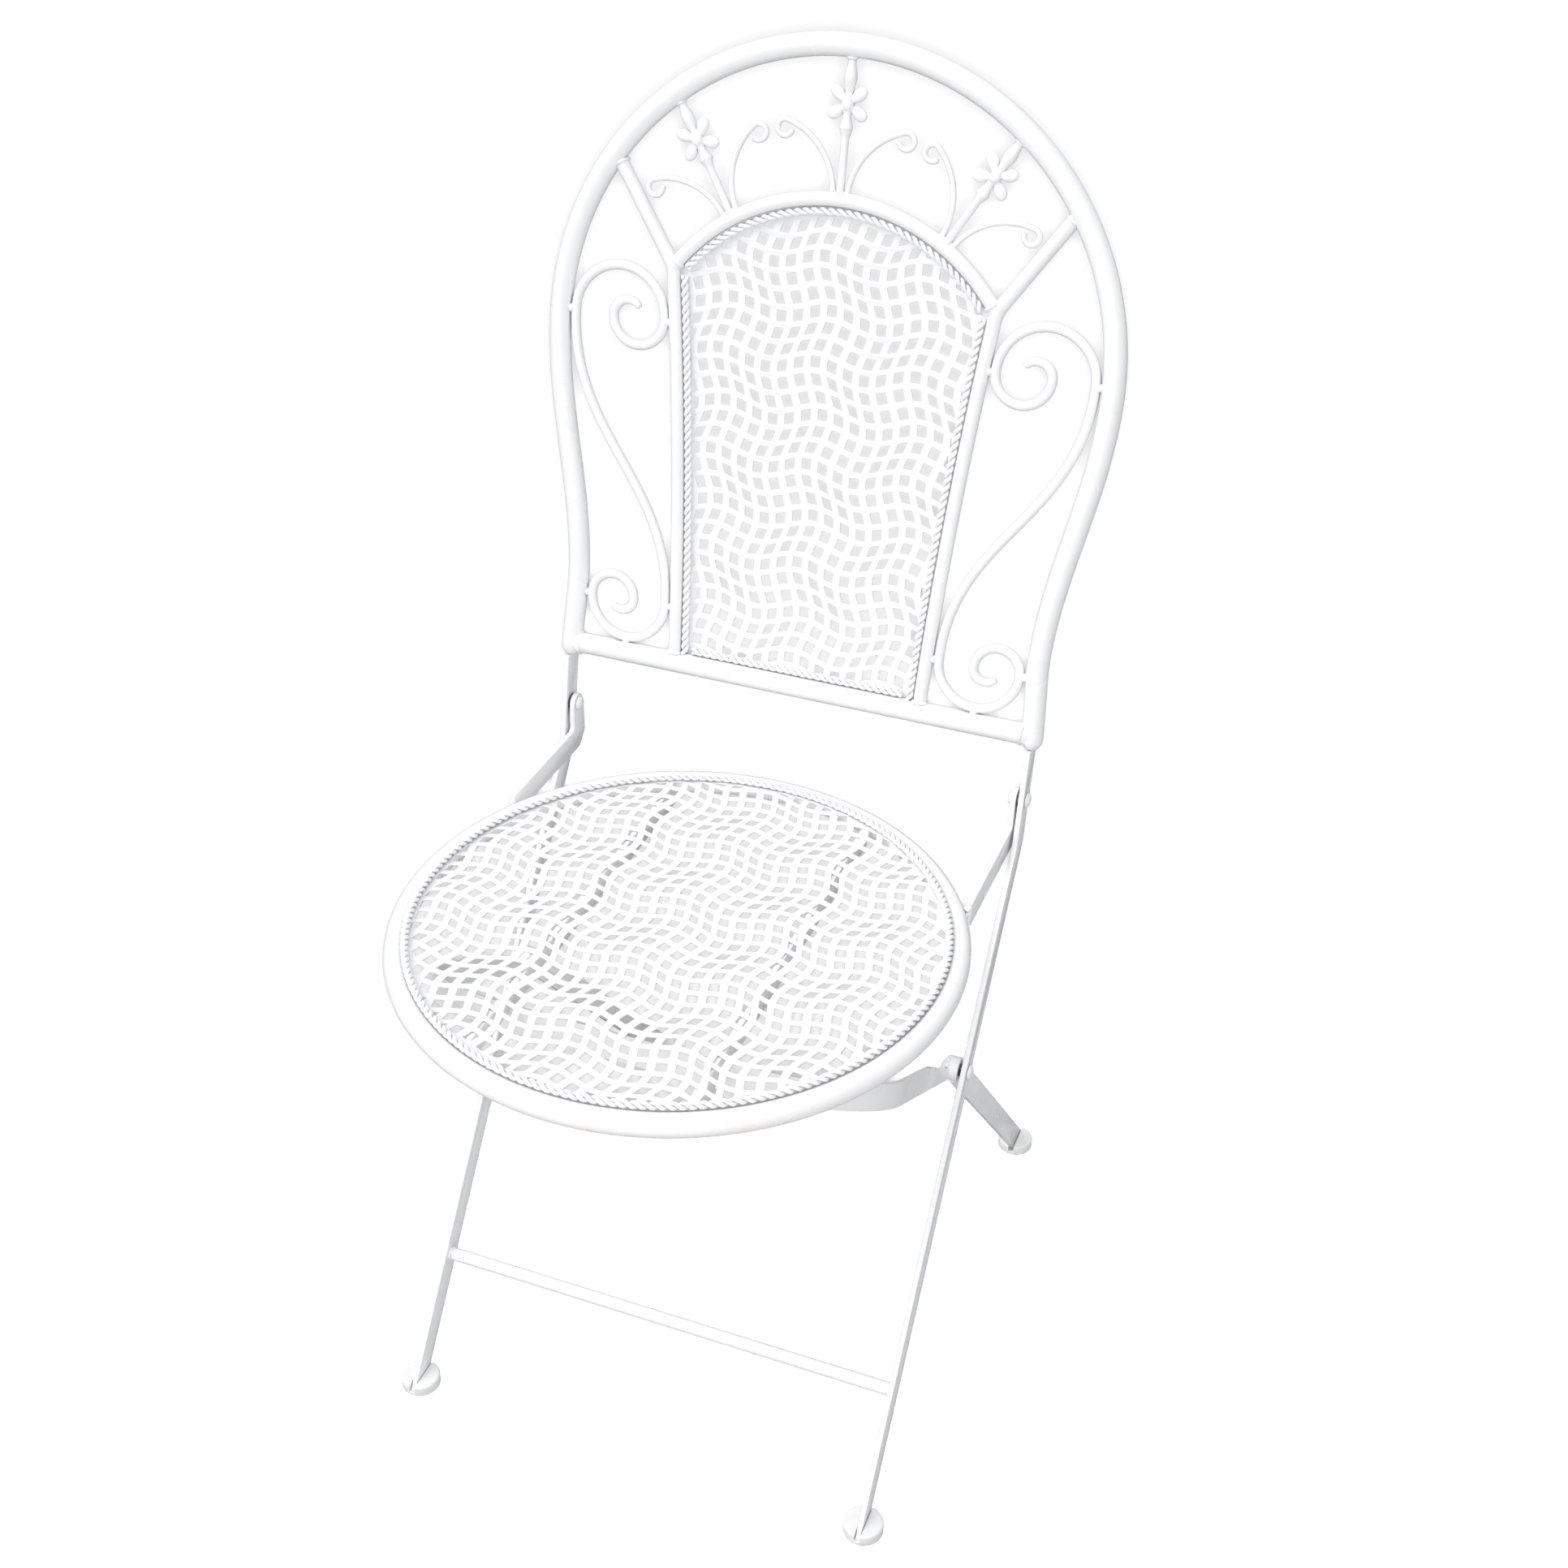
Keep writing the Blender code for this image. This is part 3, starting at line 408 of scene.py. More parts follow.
# Each finish is a material with its slot in the record
paint = (enamel("white_enamel", (0.895, 0.90, 0.905), (0.875, 0.883, 0.89), (0.90, 0.898, 0.892)),
         "white_enamel")
sheet_paint = (enamel("sheet_enamel", (0.90, 0.905, 0.91), (0.885, 0.893, 0.90),
                      (0.90, 0.90, 0.895), 0.12, faint_crevice_dark), "sheet_enamel")
# Painted shadow: the near-black washers stand in for the shade in the pivot gaps
gap_shadow_paint = (washer_gap_shadow("gap_shadow_enamel"), "white_enamel")
foot_plastic = (plastic("foot_plastic"), "foot_plastic")


# Mesh helpers

def placed(name, data):
    """A new object in the scene."""
    item = bpy.data.objects.new(name, data)
    bpy.context.scene.collection.objects.link(item)
    return item


def evaluated(item):
    """The mesh of an object with its bevel or its modifiers."""
    bpy.context.view_layer.update()
    graph = bpy.context.evaluated_depsgraph_get()
    return bpy.data.meshes.new_from_object(item.evaluated_get(graph))


def meshed(name, body):
    mesh = bpy.data.meshes.new(name)
    body.to_mesh(mesh)
    body.free()
    return mesh


def smooth(mesh, sharp=40):
    """Smooth shading, but for edges sharper than an angle in degrees."""
    mesh.shade_smooth()
    mesh.set_sharp_from_angle(angle=radians(sharp))


def show(name, body, riding, node=None, finish=paint, sharp=40):
    """Makes a shown piece from a bmesh. It rides on a body and may replace a node."""
    look, slot = finish
    mesh = meshed(name, body)
    smooth(mesh, sharp)
    mesh.materials.append(look)
    item = placed(name, mesh)
    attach(item, riding)
    if node:
        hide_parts(node)
    return item


def fine(base, body, riding, node=None, **looks):
    """Shows the fine form of a node, which has the piece's own name if none is given."""
    return show(base + "_fine", body, riding, node or base, **looks)


def evenly(start, end, steps):
    """Values from start to end in even steps, both included."""
    return [start + (end - start) * i / steps for i in range(steps + 1)]


def toward(angle):
    return vec(cos(angle), sin(angle))


def arc(center, radius, start, end, steps):
    return [center + toward(angle) * radius for angle in evenly(start, end, steps)]


def bezier(p0, p1, p2, p3, steps):
    points = []
    for t in evenly(0, 1, steps):
        s = 1 - t
        points.append(p0 * s ** 3 + p1 * 3 * s * s * t + p2 * 3 * s * t * t + p3 * t ** 3)
    return points


def circle(radius, steps=48, center=Vector((0, 0))):
    return arc(center, radius, 0, 2 * pi * (steps - 1) / steps, steps - 1)


def turned(vector, angle):
    c, s = cos(angle), sin(angle)
    return vec(vector.x * c - vector.y * s, vector.x * s + vector.y * c)


def mirrored(path, side):
    return [vec(p.x * side, p.y) for p in path]


def filleted(points, radius, steps=12):
    path = [points[0]]
    for before, corner, after in zip(points, points[1:], points[2:]):
        inward = (corner - before).normalized()
        outward = (after - corner).normalized()
        turn = atan2(inward.x * outward.y - inward.y * outward.x, inward.dot(outward))
        start = corner - inward * radius * tan(abs(turn) / 2)
        center = start + turned(inward, copysign(pi / 2, turn)) * radius
        path += [center + turned(start - center, angle) for angle in evenly(0, turn, steps)]
    path.append(points[-1])
    return path


def resampled(path, step):
    """Points at an even spacing along a polyline, both ends included."""
    lengths = [0.0]
    for a, b in zip(path, path[1:]):
        lengths.append(lengths[-1] + (b - a).length)
    count = max(round(lengths[-1] / step), 2)
    points = []
    k = 0
    for at in evenly(0, lengths[-1], count):
        while k < len(path) - 2 and lengths[k + 1] < at:
            k += 1
        span = lengths[k + 1] - lengths[k]
        points.append(path[k].lerp(path[k + 1], min(max((at - lengths[k]) / span, 0), 1)))
    return points


def on_back(path, lift=0.0):
    """Points of the back's plane placed in space."""
    return [back_matrix @ vec(*p, lift) for p in path]


def path_frames(path, cyclic=False):
    """Each point of a space path with its tangent and two steady normals."""
    count = len(path)
    frames = []
    normal = None
    for i in range(count):
        if cyclic:
            tangent = (path[(i + 1) % count] - path[i - 1]).normalized()
        else:
            tangent = (path[min(i + 1, count - 1)] - path[max(i - 1, 0)]).normalized()
        if normal is None:
            normal = tangent.orthogonal()
        normal = (normal - tangent * normal.dot(tangent)).normalized()
        frames.append((path[i], tangent, normal, tangent.cross(normal)))
    return frames


def spokes(count):
    """Cosine and sine of angles spread evenly round a circle."""
    return [(cos(angle), sin(angle)) for angle in evenly(0, 2 * pi, count)[:-1]]


def skin(body, rings, cyclic=False):
    """Faces between rings of points, and over both ends unless the rings run in a circle."""
    for a, b in zip(rings, rings[1:] + (rings[:1] if cyclic else [])):
        for k in range(len(a)):
            j = (k + 1) % len(a)
            body.faces.new((a[k], a[j], b[j], b[k]))
    if not cyclic:
        body.faces.new(rings[0][::-1])
        body.faces.new(rings[-1])


def sweep(body, path, radius, sides=16, cyclic=False, scale=None, domed=(False, False)):
    """Adds a round rod to a bmesh. A domed end is rounded off a little past the path's end."""
    rings = []
    for i, (point, tangent, across, up) in enumerate(path_frames(path, cyclic)):
        size = radius * (scale[i] if scale else 1)
        cuts = [(0, size)]
        if not cyclic and i in (0, len(path) - 1) and domed[0 if i == 0 else 1]:
            way = -1 if i == 0 else 1
            angles = [pi / 2 * (1 - step / 3) * 0.97 for step in range(4)]
            cuts = [(way * size * 0.6 * sin(a), size * cos(a)) for a in angles][::-way]
        for lift, reach in cuts:
            rings.append([body.verts.new(point + tangent * lift + (across * c + up * s) * reach)
                          for c, s in spokes(sides)])
    skin(body, rings, cyclic)


def rod(base, path, diameter, riding, node=None, sides=18, **options):
    body = bmesh.new()
    sweep(body, path, diameter / 2, sides, **options)
    fine(base, body, riding, node)


def rope(base, path, riding, node=None, cyclic=False):
    """Two wires twisted together along a path."""
    if cyclic:
        path = path + path[:1]
    length = sum((b - a).length for a, b in zip(path, path[1:]))
    turns = round(length / rope_pitch)
    line = resampled(path, length / (turns * rope_steps))
    if cyclic:
        line = line[:-1]
    steps = len(line) - (0 if cyclic else 1)
    strand = shown_rope_diameter / 4
    body = bmesh.new()
    for phase in (0, pi):
        points = []
        for i, (point, _, across, up) in enumerate(path_frames(line, cyclic)):
            angle = 2 * pi * turns * i / steps + phase
            sway = 1 + 0.10 * noise.noise(point * 60 + vec(phase, 0, 0))
            points.append(point + (across * cos(angle) + up * sin(angle)) * strand * sway)
        sweep(body, points, strand, 10, cyclic)
    fine(base, body, riding, node, finish=sheet_paint)


def turned_piece(profile, steps, matrix, closed=False):
    """A turned solid as a bmesh, from a profile of radius and height.

    The profile's ends are on the axis, or it closes on itself."""
    body = bmesh.new()
    rings = []
    for radius, height in profile:
        ring = spokes(steps) if radius > 1e-7 else [(0, 0)]
        rings.append([body.verts.new(matrix @ vec(radius * c, radius * s, height)) for c, s in ring])
    for a, b in zip(rings, rings[1:] + (rings[:1] if closed else [])):
        for k in range(steps):
            j = (k + 1) % steps
            corners = [a[k % len(a)], a[j % len(a)], b[j % len(b)], b[k % len(b)]]
            body.faces.new(list(dict.fromkeys(corners)))
    bmesh.ops.recalc_face_normals(body, faces=body.faces)
    return body


def plate(loops, thickness, matrix, bevel=flat_bevel):
    """A flat plate with softened edges: the first loop is its outline, the others are holes."""
    curve = adjust(bpy.data.curves.new("plate", "CURVE"), dimensions="2D", fill_mode="BOTH",
                   extrude=thickness / 2 - bevel, bevel_depth=bevel, bevel_resolution=1, offset=-bevel)
    for loop in loops:
        spline = curve.splines.new("POLY")
        spline.points.add(len(loop) - 1)
        for point, at in zip(spline.points, loop):
            point.co = (at.x, at.y, 0, 1)
        spline.use_cyclic_u = True
    item = placed("plate", curve)
    mesh = evaluated(item)
    body = bmesh.new()
    body.from_mesh(mesh)
    bpy.data.objects.remove(item, do_unlink=True)
    bpy.data.meshes.remove(mesh)
    bmesh.ops.remove_doubles(body, verts=body.verts, dist=0.00001)
    bmesh.ops.transform(body, matrix=matrix, verts=body.verts)
    bmesh.ops.recalc_face_normals(body, faces=body.faces)
    return body


def side_matrix(x):
    """Places side-view points at a distance across the chair."""
    return Matrix(((0, 0, 1, x), (1, 0, 0, 0), (0, 1, 0, 0), (0, 0, 0, 1)))


def bar(base, loops, x, riding, bevel=flat_bevel):
    """Shows a flat bar that stands along the side view."""
    fine(base, plate(loops, bar_thickness, side_matrix(x), bevel), riding, sharp=50)


def weld(body, at, axis, ring, fat, seed):
    """A lumpy bead of weld round the end of a rod."""
    axis = axis.normalized()
    across = axis.orthogonal().normalized()
    up = axis.cross(across)
    path, scale = [], []
    for c, s in spokes(26):
        wobble = noise.noise(vec(c * 1.6, s * 1.6, seed * 7.3))
        path.append(at + (across * c + up * s) * ring * (1 + 0.06 * wobble)
                    + axis * fat * 0.35 * wobble)
        scale.append(1 + 0.35 * wobble)
    sweep(body, path, fat, 8, cyclic=True, scale=scale)


def nub(body, at, along, size, seed, tall=1.0):
    """A lumpy blob of weld between two rods that touch side by side."""
    quat = along.normalized().to_track_quat("Z", "Y")
    matrix = Matrix.Translation(at) @ quat.to_matrix().to_4x4()
    matrix = matrix @ Matrix.Diagonal((size, size * tall, size, 1))
    made = bmesh.ops.create_icosphere(body, subdivisions=3, radius=1, matrix=matrix)
    for vert in made["verts"]:
        push = noise.noise(vert.co * 240 + vec(seed * 3.1, 0, 0))
        vert.co += (vert.co - at) * 0.22 * push


# Outlines of the back, on its plane

def hoop_half_at(rise):
    if rise <= waist_rise:
        return waist_half + (leg_half - waist_half) * (1 - max(rise, 0) / waist_rise)
    if rise >= hoop_center_rise:
        return sqrt(max(hoop_half ** 2 - (rise - hoop_center_rise) ** 2, 0))
    share = (rise - waist_rise) / (hoop_center_rise - waist_rise)
    return waist_half + (hoop_half - waist_half) * (1 - cos(pi * share)) / 2


def hoop_path():
    """The hoop's middle line and its thickness along it: both ends taper."""
    steps = 6
    right = [vec(leg_half, -hoop_skirt + hoop_nose * i / steps) for i in range(steps)]
    scale = [0.55 + 0.45 * sin(pi / 2 * i / steps) for i in range(steps)]
    right += [vec(hoop_half_at(rise), rise) for rise in evenly(0, hoop_center_rise, 60)[:-1]]
    top = arc(vec(0, hoop_center_rise), hoop_half, 0, pi, 110)
    path = right + top + mirrored(right, -1)[::-1]
    return path, scale + [1.0] * (len(path) - 2 * steps) + scale[::-1]


def upright_half_at(rise):
    share = rise / panel_shoulder_rise
    straight = panel_bottom_width + (panel_top_width - panel_bottom_width) * share
    return straight / 2 - panel_side_bow * 4 * share * (1 - share)


def panel_arch():
    half = panel_top_width / 2
    sagitta = panel_top_rise - panel_shoulder_rise
    radius = (half * half + sagitta * sagitta) / (2 * sagitta)
    return vec(0, panel_top_rise - radius), radius


def corner_rise(inset):
    center, radius = panel_arch()
    low, high = center.y, panel_shoulder_rise
    for _ in range(40):
        middle = (low + high) / 2
        corner = vec(upright_half_at(middle) - inset, middle)
        if (corner - center).length < radius - inset:
            low = middle
        else:
            high = middle
    return high


def panel_side(inset, bottom, top, steps=24):
    return [vec(upright_half_at(rise) - inset, rise) for rise in evenly(bottom, top, steps)]


def panel_over(inset, short, steps=60):
    center, radius = panel_arch()
    rise = corner_rise(inset)
    corner = vec(upright_half_at(rise) - inset, rise) - center
    angle = atan2(corner.y, corner.x) + short / radius
    return arc(center, radius - inset, angle, pi - angle, steps)


def upright_path():
    shoulder = vec(panel_top_width / 2, panel_shoulder_rise)
    top = vec(hoop_half_at(strut_hoop_rise), strut_hoop_rise)
    side = panel_side(0, 0, panel_shoulder_rise - shoulder_bend)
    bend_end = shoulder + (top - shoulder).normalized() * shoulder_bend
    return side + bezier(side[-1], shoulder, shoulder, bend_end, 12)[1:] + [top]


def curl(center, outer_r, heading):
    """Half a turn, then two tighter arcs that run on from it."""
    points = []
    radius = outer_r
    for ratio, turn, steps in ((1, pi, 34), (curl_ratio, pi, 28), (eye_ratio, pi * 0.75, 18)):
        smaller = outer_r * ratio
        center = center + toward(heading) * (radius - smaller)
        points += arc(center, smaller, heading, heading + turn, steps)[1 if points else 0:]
        radius = smaller
        heading += turn
    return points


def scroll_circle(rise):
    """Middle and radius of the circle that fits between panel and hoop at a rise."""
    inner = upright_half_at(rise) + panel_r + scroll_rod / 2 + gap
    outer = hoop_half_at(rise) - (tube_r + scroll_rod / 2 + 2 * gap)
    return (outer + inner) / 2, (outer - inner) / 2


def scroll_path():
    """The right-hand scroll, and the points where its curls touch, each with the way out."""
    middle, top_r = scroll_circle(scroll_top_rise)
    top = vec(middle, scroll_top_rise)
    middle, foot_r = scroll_circle(waist_rise)
    foot = vec(middle, rail_r + scroll_rod / 2 + gap + foot_r)
    top_curl = curl(top, top_r, 0)
    foot_curl = curl(foot, foot_r, pi)
    start, end = top_curl[0], foot_curl[0]
    drop = vec(0, scroll_sweep)
    way = bezier(start, start - drop, end + drop, end, 50)
    right, left, down = vec(1, 0), vec(-1, 0), vec(0, -1)
    touches = [(top + out * top_r, out) for out in (right, left)]
    touches += [(foot + out * foot_r, out) for out in (right, left, down)]
    return top_curl[::-1] + way[1:-1] + foot_curl, touches


def upward(angle):
    """The way up the back, turned to the right by an angle."""
    return vec(sin(angle), cos(angle))


def sprig_reach(angle):
    """How far the hoop lies from the arch's centre at an angle."""
    offset = panel_arch()[0] - vec(0, hoop_center_rise)
    middle = offset.dot(upward(angle))
    return -middle + sqrt(middle * middle - offset.length_squared + hoop_half ** 2)


# Perforated sheets

def waved(x, y, pitch, height, start):
    """A point of the wavy grid: rows wave up and down, columns wave from side to side."""
    turn_x = 2 * pi / (waves_per_pitches * pitch[0])
    turn_y = 2 * pi / (waves_per_pitches * pitch[1])
    return vec(x + height[0] * sin(turn_y * y + start[0]), y + height[1] * sin(turn_x * x + start[1]))


def edges_of(loop):
    return list(zip(loop, loop[1:] + loop[:1]))


def mean_width(loop):
    """Twice a loop's area over its length."""
    edges = edges_of(loop)
    return sum(a.x * b.y - b.x * a.y for a, b in edges) / sum((b - a).length for a, b in edges)


def divides(a, b, c, d):
    """Whether the line through a and b passes between c and d."""
    return (b - a).cross(c - a) * (b - a).cross(d - a) < 0


def crossed(loop):
    """Whether any two edges of a loop cross."""
    edges = edges_of(loop)
    return any(divides(a, b, c, d) and divides(c, d, a, b) for i, (a, b) in enumerate(edges)
               for c, d in edges[i + 2:len(edges) - (i == 0)])


def blunted(loop):
    """The loop without its sharpest corners."""
    corners = zip(loop[-1:] + loop[:-1], loop, loop[1:] + loop[:1])
    return [point for before, point, after in corners
            if (before - point).angle(after - point, 0) > radians(40)]


def wavy_holes(reach, border_pull, pitch, height, start, first, tilt):
    """Rounded holes of the wavy grid. Those at the border are cut off along it."""
    half = Vector(hole_size) / 2
    corner = half.x * hole_corner_share
    rounded = []
    for quarter, (x, y) in enumerate(((1, 1), (-1, 1), (-1, -1), (1, -1))):
        center = vec((half.x - corner) * x, (half.y - corner) * y)
        rounded += arc(center, corner, quarter * pi / 2, (quarter + 1) * pi / 2, 3)
    count = int(reach / min(pitch)) + 2
    holes = []
    for i in range(-count, count + 1):
        for j in range(-count, count + 1):
            x = first[0] + i * pitch[0]
            y = first[1] + j * pitch[1]
            loop = []
            for offset in rounded:
                spot = waved(x + offset.x, y + offset.y, pitch, height, start)
                point = border_pull(turned(spot, tilt))
                if all((point - other).length > corner * 0.45 for other in loop):
                    loop.append(point)
            loop = blunted(blunted(loop))
            if len(loop) > 4 and not crossed(loop) and mean_width(loop) > least_hole_width:
                holes.append(loop)
    return holes


def sheet(base, loops, matrix, riding):
    body = plate(loops, sheet_thickness, matrix, sheet_bevel)
    fine(base, body, riding, finish=sheet_paint, sharp=60)


def make_back_sheet():
    inset = panel_r + gap
    bottom = rail_r + gap
    side = panel_side(inset, bottom, corner_rise(inset))
    outline = side[:-1] + panel_over(inset, 0) + mirrored(side[:-1], -1)[::-1]
    border = inset + shown_rope_diameter * back_border_share
    lowest = bottom + shown_rope_diameter * back_border_share
    center, radius = panel_arch()

    def pull(p):
        q = p.copy()
        q.y = max(q.y, lowest)
        half = upright_half_at(min(q.y, panel_shoulder_rise)) - border
        q.x = max(-half, min(half, q.x))
        arm = q - center
        if q.y > center.y and arm.length > radius - border:
            q = center + arm.normalized() * (radius - border)
        return q

    loops = [outline] + wavy_holes(panel_top_rise, pull, *back_grid)
    behind = -(rope_diameter / 2 + sheet_thickness / 2 + gap)
    sheet("back_sheet", loops, back_matrix @ Matrix.Translation((0, 0, behind)), "frame")


def seat_circle(radius, height, steps):
    return [vec(p.x, p.y + seat_y, height) for p in circle(radius, steps)]


def trim_ring():
    """Radius and height of the trim's middle line on the seat."""
    height = sheet_top + gap + rope_r
    rise = height - ring_z
    reach = ring_tube_r + rope_r + gap
    return ring_r - sqrt(reach * reach - rise * rise), height


def make_seat_sheet():
    half_chord = sqrt(ring_tube_r ** 2 - (sheet_bottom - ring_z) ** 2)
    edge_r = ring_r - half_chord - gap
    border_r = trim_ring()[0] - shown_rope_diameter * seat_border_share

    def pull(p):
        return p * min(1.0, border_r / p.length)

    loops = [circle(edge_r, 160)] + wavy_holes(border_r, pull, *seat_grid)
    middle = (0, seat_y, (sheet_top + sheet_bottom) / 2)
    sheet("seat_sheet", loops, Matrix.Translation(middle), "seat")


# The back

def make_back_frame():
    path, scale = hoop_path()
    rod("hoop", on_back(path), hoop_tube, "frame", "back_hoop", 28, scale=scale)
    rail = [vec(leg_half - rail_inset, 0), vec(rail_inset - leg_half, 0)]
    rod("rail", on_back(resampled(rail, rod_step)), rail_tube, "frame", "back_rail", 28)
    for side, word in sides:
        path = on_back(mirrored(upright_path(), side))
        rod(word + "_upright", path, panel_tube, "frame", word + "_panel_upright", 20)
    rod("arch", on_back(panel_over(0, 0)), panel_tube, "frame", "panel_arch", 20)


def make_trims():
    inset = panel_r + rope_r + gap
    foot = rail_r + gap
    bottom = foot + rope_r
    short = rope_r + gap
    paths = [("top", panel_over(inset, short))]
    upright = panel_side(inset, foot, corner_rise(inset) - short)
    paths += [(word, mirrored(upright, side)) for side, word in sides]
    half = upright_half_at(bottom) - inset - shown_rope_diameter - gap
    paths.append(("bottom", [vec(half, bottom), vec(0, bottom), vec(-half, bottom)]))
    for word, path in paths:
        rope("trim_" + word, on_back(path, shown_rope_lift), "frame", "panel_trim_" + word)
    rope("seat_trim", seat_circle(*trim_ring(), 160), "seat", cyclic=True)


def make_scrolls():
    path, _ = scroll_path()
    last = len(path) - 1
    nearness = [min(i, last - i, scroll_tip_steps) / scroll_tip_steps for i in range(last + 1)]
    scale = [scroll_tip + (1 - scroll_tip) * near for near in nearness]
    for side, word in sides:
        rod(word + "_scroll", on_back(mirrored(path, side)), scroll_rod, "frame", sides=16,
            scale=scale, domed=(True, True))


def swell(share, place, rise):
    """A round swelling about a place, given as a middle and a reach along the stem."""
    offset = abs(share - place[0]) / place[1]
    return rise * cos(pi / 2 * offset) ** 2 if offset < 1 else 0.0


def petal_mesh(body, tilt, heart, matrix, seed):
    """A drop-shaped petal with a soft groove down its middle."""
    out = vec(cos(tilt), 0, sin(tilt))
    local = Matrix.Translation(vec(0, 0, heart) + out * petal_spread)
    local = local @ Matrix.Rotation(-tilt, 4, "Y")
    made = bmesh.ops.create_uvsphere(body, u_segments=28, v_segments=18, radius=0.5)
    for vert in made["verts"]:
        x, y, z = vert.co * 2
        drop = 0.80 + 0.24 * x - 0.10 * x * x
        groove = exp(-(z / 0.28) ** 2) * (1 - abs(x)) * 0.22
        cup = 0.10 * z * z
        vert.co = vec(x * petal_length / 2, (y * (1 - groove) + cup) * petal_thickness / 2,
                      z * drop * petal_width / 2)
        vert.co += vec(0, 0.0002, 0) * noise.noise(vert.co * 400 + vec(seed, 0, 0))
        vert.co = matrix @ (local @ vert.co)


def make_flower(word, angle, base, length):
    """A turned casting on a stem: collar, heart with four petals, and bud."""
    origin = panel_arch()[0] + upward(angle) * base
    turn = Matrix.Rotation(-angle, 4, "Z") @ Matrix.Rotation(-pi / 2, 4, "X")
    matrix = back_matrix @ Matrix.Translation((origin.x, origin.y, 0)) @ turn
    stem_r = stem_rod / 2
    heart = length * heart_middle
    profile = [(0, length)]
    for share in evenly(0, 1, 70)[::-1]:
        radius = stem_r
        for place, diameter in swellings:
            radius += swell(share, place, diameter / 2 - stem_r)
        radius += collar_rim * exp(-((share - collar_middle) / 0.02) ** 2)
        profile.append((radius, length * share))
    profile.append((0, 0))
    body = turned_piece(profile, 24, matrix)
    for index, degrees in enumerate((42, 138, 213, 327)):
        petal_mesh(body, radians(degrees), heart, matrix, index)
    for side in (1, -1):
        boss = matrix @ Matrix.Translation((0, side * heart_diameter * 0.36, heart))
        boss = boss @ Matrix.Diagonal((0.5, 0.24, 0.5, 1)) @ Matrix.Scale(heart_diameter, 4)
        bmesh.ops.create_uvsphere(body, u_segments=20, v_segments=12, radius=0.9, matrix=boss)
    fine(word + "_sprig_flower", body, "frame", sharp=70)


def make_sprig(word, angle):
    """A stem from the arch to its casting, with a curled tendril on each side."""
    center, radius = panel_arch()
    along = upward(angle)
    across = vec(along.y, -along.x)
    tip = sprig_reach(angle)
    base = tip - (tip - radius) * casting_share
    make_flower(word, angle, base, tip - base)
    stem = [center + along * radius, center + along * (base + stem_in_flower)]
    rod(word + "_sprig_stem", on_back(resampled(stem, stem_step)), stem_rod, "frame", sides=16)
    offset = stem_rod / 2 + tendril_wire / 2 + gap
    heading = pi - tendril_turn
    bend = arc(vec(offset + tendril_radius, radius), tendril_radius, pi, heading, 26)
    inner = bend[-1] - toward(heading) * curl_radius
    local = bend + arc(inner, curl_radius, heading, heading - curl_turn, 30)[1:]
    for side, hand in sides:
        path = [center + across * (p.x * side) + along * p.y for p in local]
        rod("%s_sprig_%s_tendril" % (word, hand), on_back(path), tendril_wire, "frame", sides=12,
            domed=(False, True))


def make_back_welds():
    body = bmesh.new()
    center, radius = panel_arch()
    upright = upright_path()
    upright_way = (upright[-1] - upright[-2]).normalized()
    over = panel_over(0, 0)
    over_way = (over[1] - over[0]).normalized()
    _, touches = scroll_path()

    def spot(p, side=1):
        return back_matrix @ vec(p.x * side, p.y, 0)

    def way(p, side=1):
        return back_matrix.to_3x3() @ vec(p.x * side, p.y, 0)

    beads = ((vec(upright_half_at(0), rail_r), vec(0, 1), panel_r, thin_bead, 5),
             (upright[-1] - upright_way * tube_r, upright_way, panel_r, bead, 8),
             (over[0] + over_way * panel_r, over_way, panel_r * 0.98, thin_bead, 11))
    for side in (1, -1):
        rail_end = vec(leg_half - tube_r, 0)
        weld(body, spot(rail_end, side), way(vec(1, 0)), rail_r * 0.98, thick_bead, side + 2)
        for at, line, ring, fat, seed in beads:
            weld(body, spot(at, side), way(line, side), ring, fat, side + seed)
        for index, (touch, out) in enumerate(touches):
            nub(body, spot(touch + out * scroll_rod / 2, side), way(vec(abs(out.y), abs(out.x))),
                scroll_nub, index * 2 + side, 1.25)
    for _, angle in sprigs:
        along = upward(angle)
        across = vec(along.y, -along.x)
        foot = center + along * (radius + panel_r * 0.9)
        weld(body, spot(foot), way(along), stem_rod / 2, bead, angle + 3)
        for side in (1, -1):
            at = foot + across * side * (stem_rod / 2 + tendril_wire / 2)
            nub(body, spot(at), way(along), tendril_nub, angle * 4 + side)
        top = center + along * (sprig_reach(angle) - tube_r)
        weld(body, spot(top), way(along), stem_rod / 2, thin_bead, angle + 6)
    show("back_welds", body, "frame", sharp=80)


# Legs, seat and pivots

def path_normals(path):
    normals = []
    for i in range(len(path)):
        ahead = path[min(i + 1, len(path) - 1)] - path[min(i, len(path) - 2)]
        behind = path[max(i, 1)] - path[max(i - 1, 0)]
        tangent = (ahead.normalized() + behind.normalized()).normalized()
        normals.append(vec(-tangent.y, tangent.x))
    return normals


def bar_outline(path, width, direction):
    """Both edges of a flat bar along a path, cut off level where the path ends."""
    normals = path_normals(path)
    outline = []
    for way in (1, -1):
        edge = [p + n * way * width / 2 for p, n in zip(path, normals)]
        edge[-1] = at_height(edge[-1], direction, path[-1].y)
        outline += edge[::way]
    return outline


def make_front_leg(side, word):
    top = back_rail - back_direction * (hoop_skirt + gap)
    foot = at_height(front_foot, leg_direction, foot_floor + gap)
    path = filleted([top, leg_bend, foot], leg_bend_radius)
    loops = [bar_outline(path, bar_width, leg_direction)]
    loops += [circle(pivot_hole_r, center=pivot) for pivot in (upper_pivot, lower_pivot)]
    bar(word + "_front_leg", loops, side * leg_half, "frame")


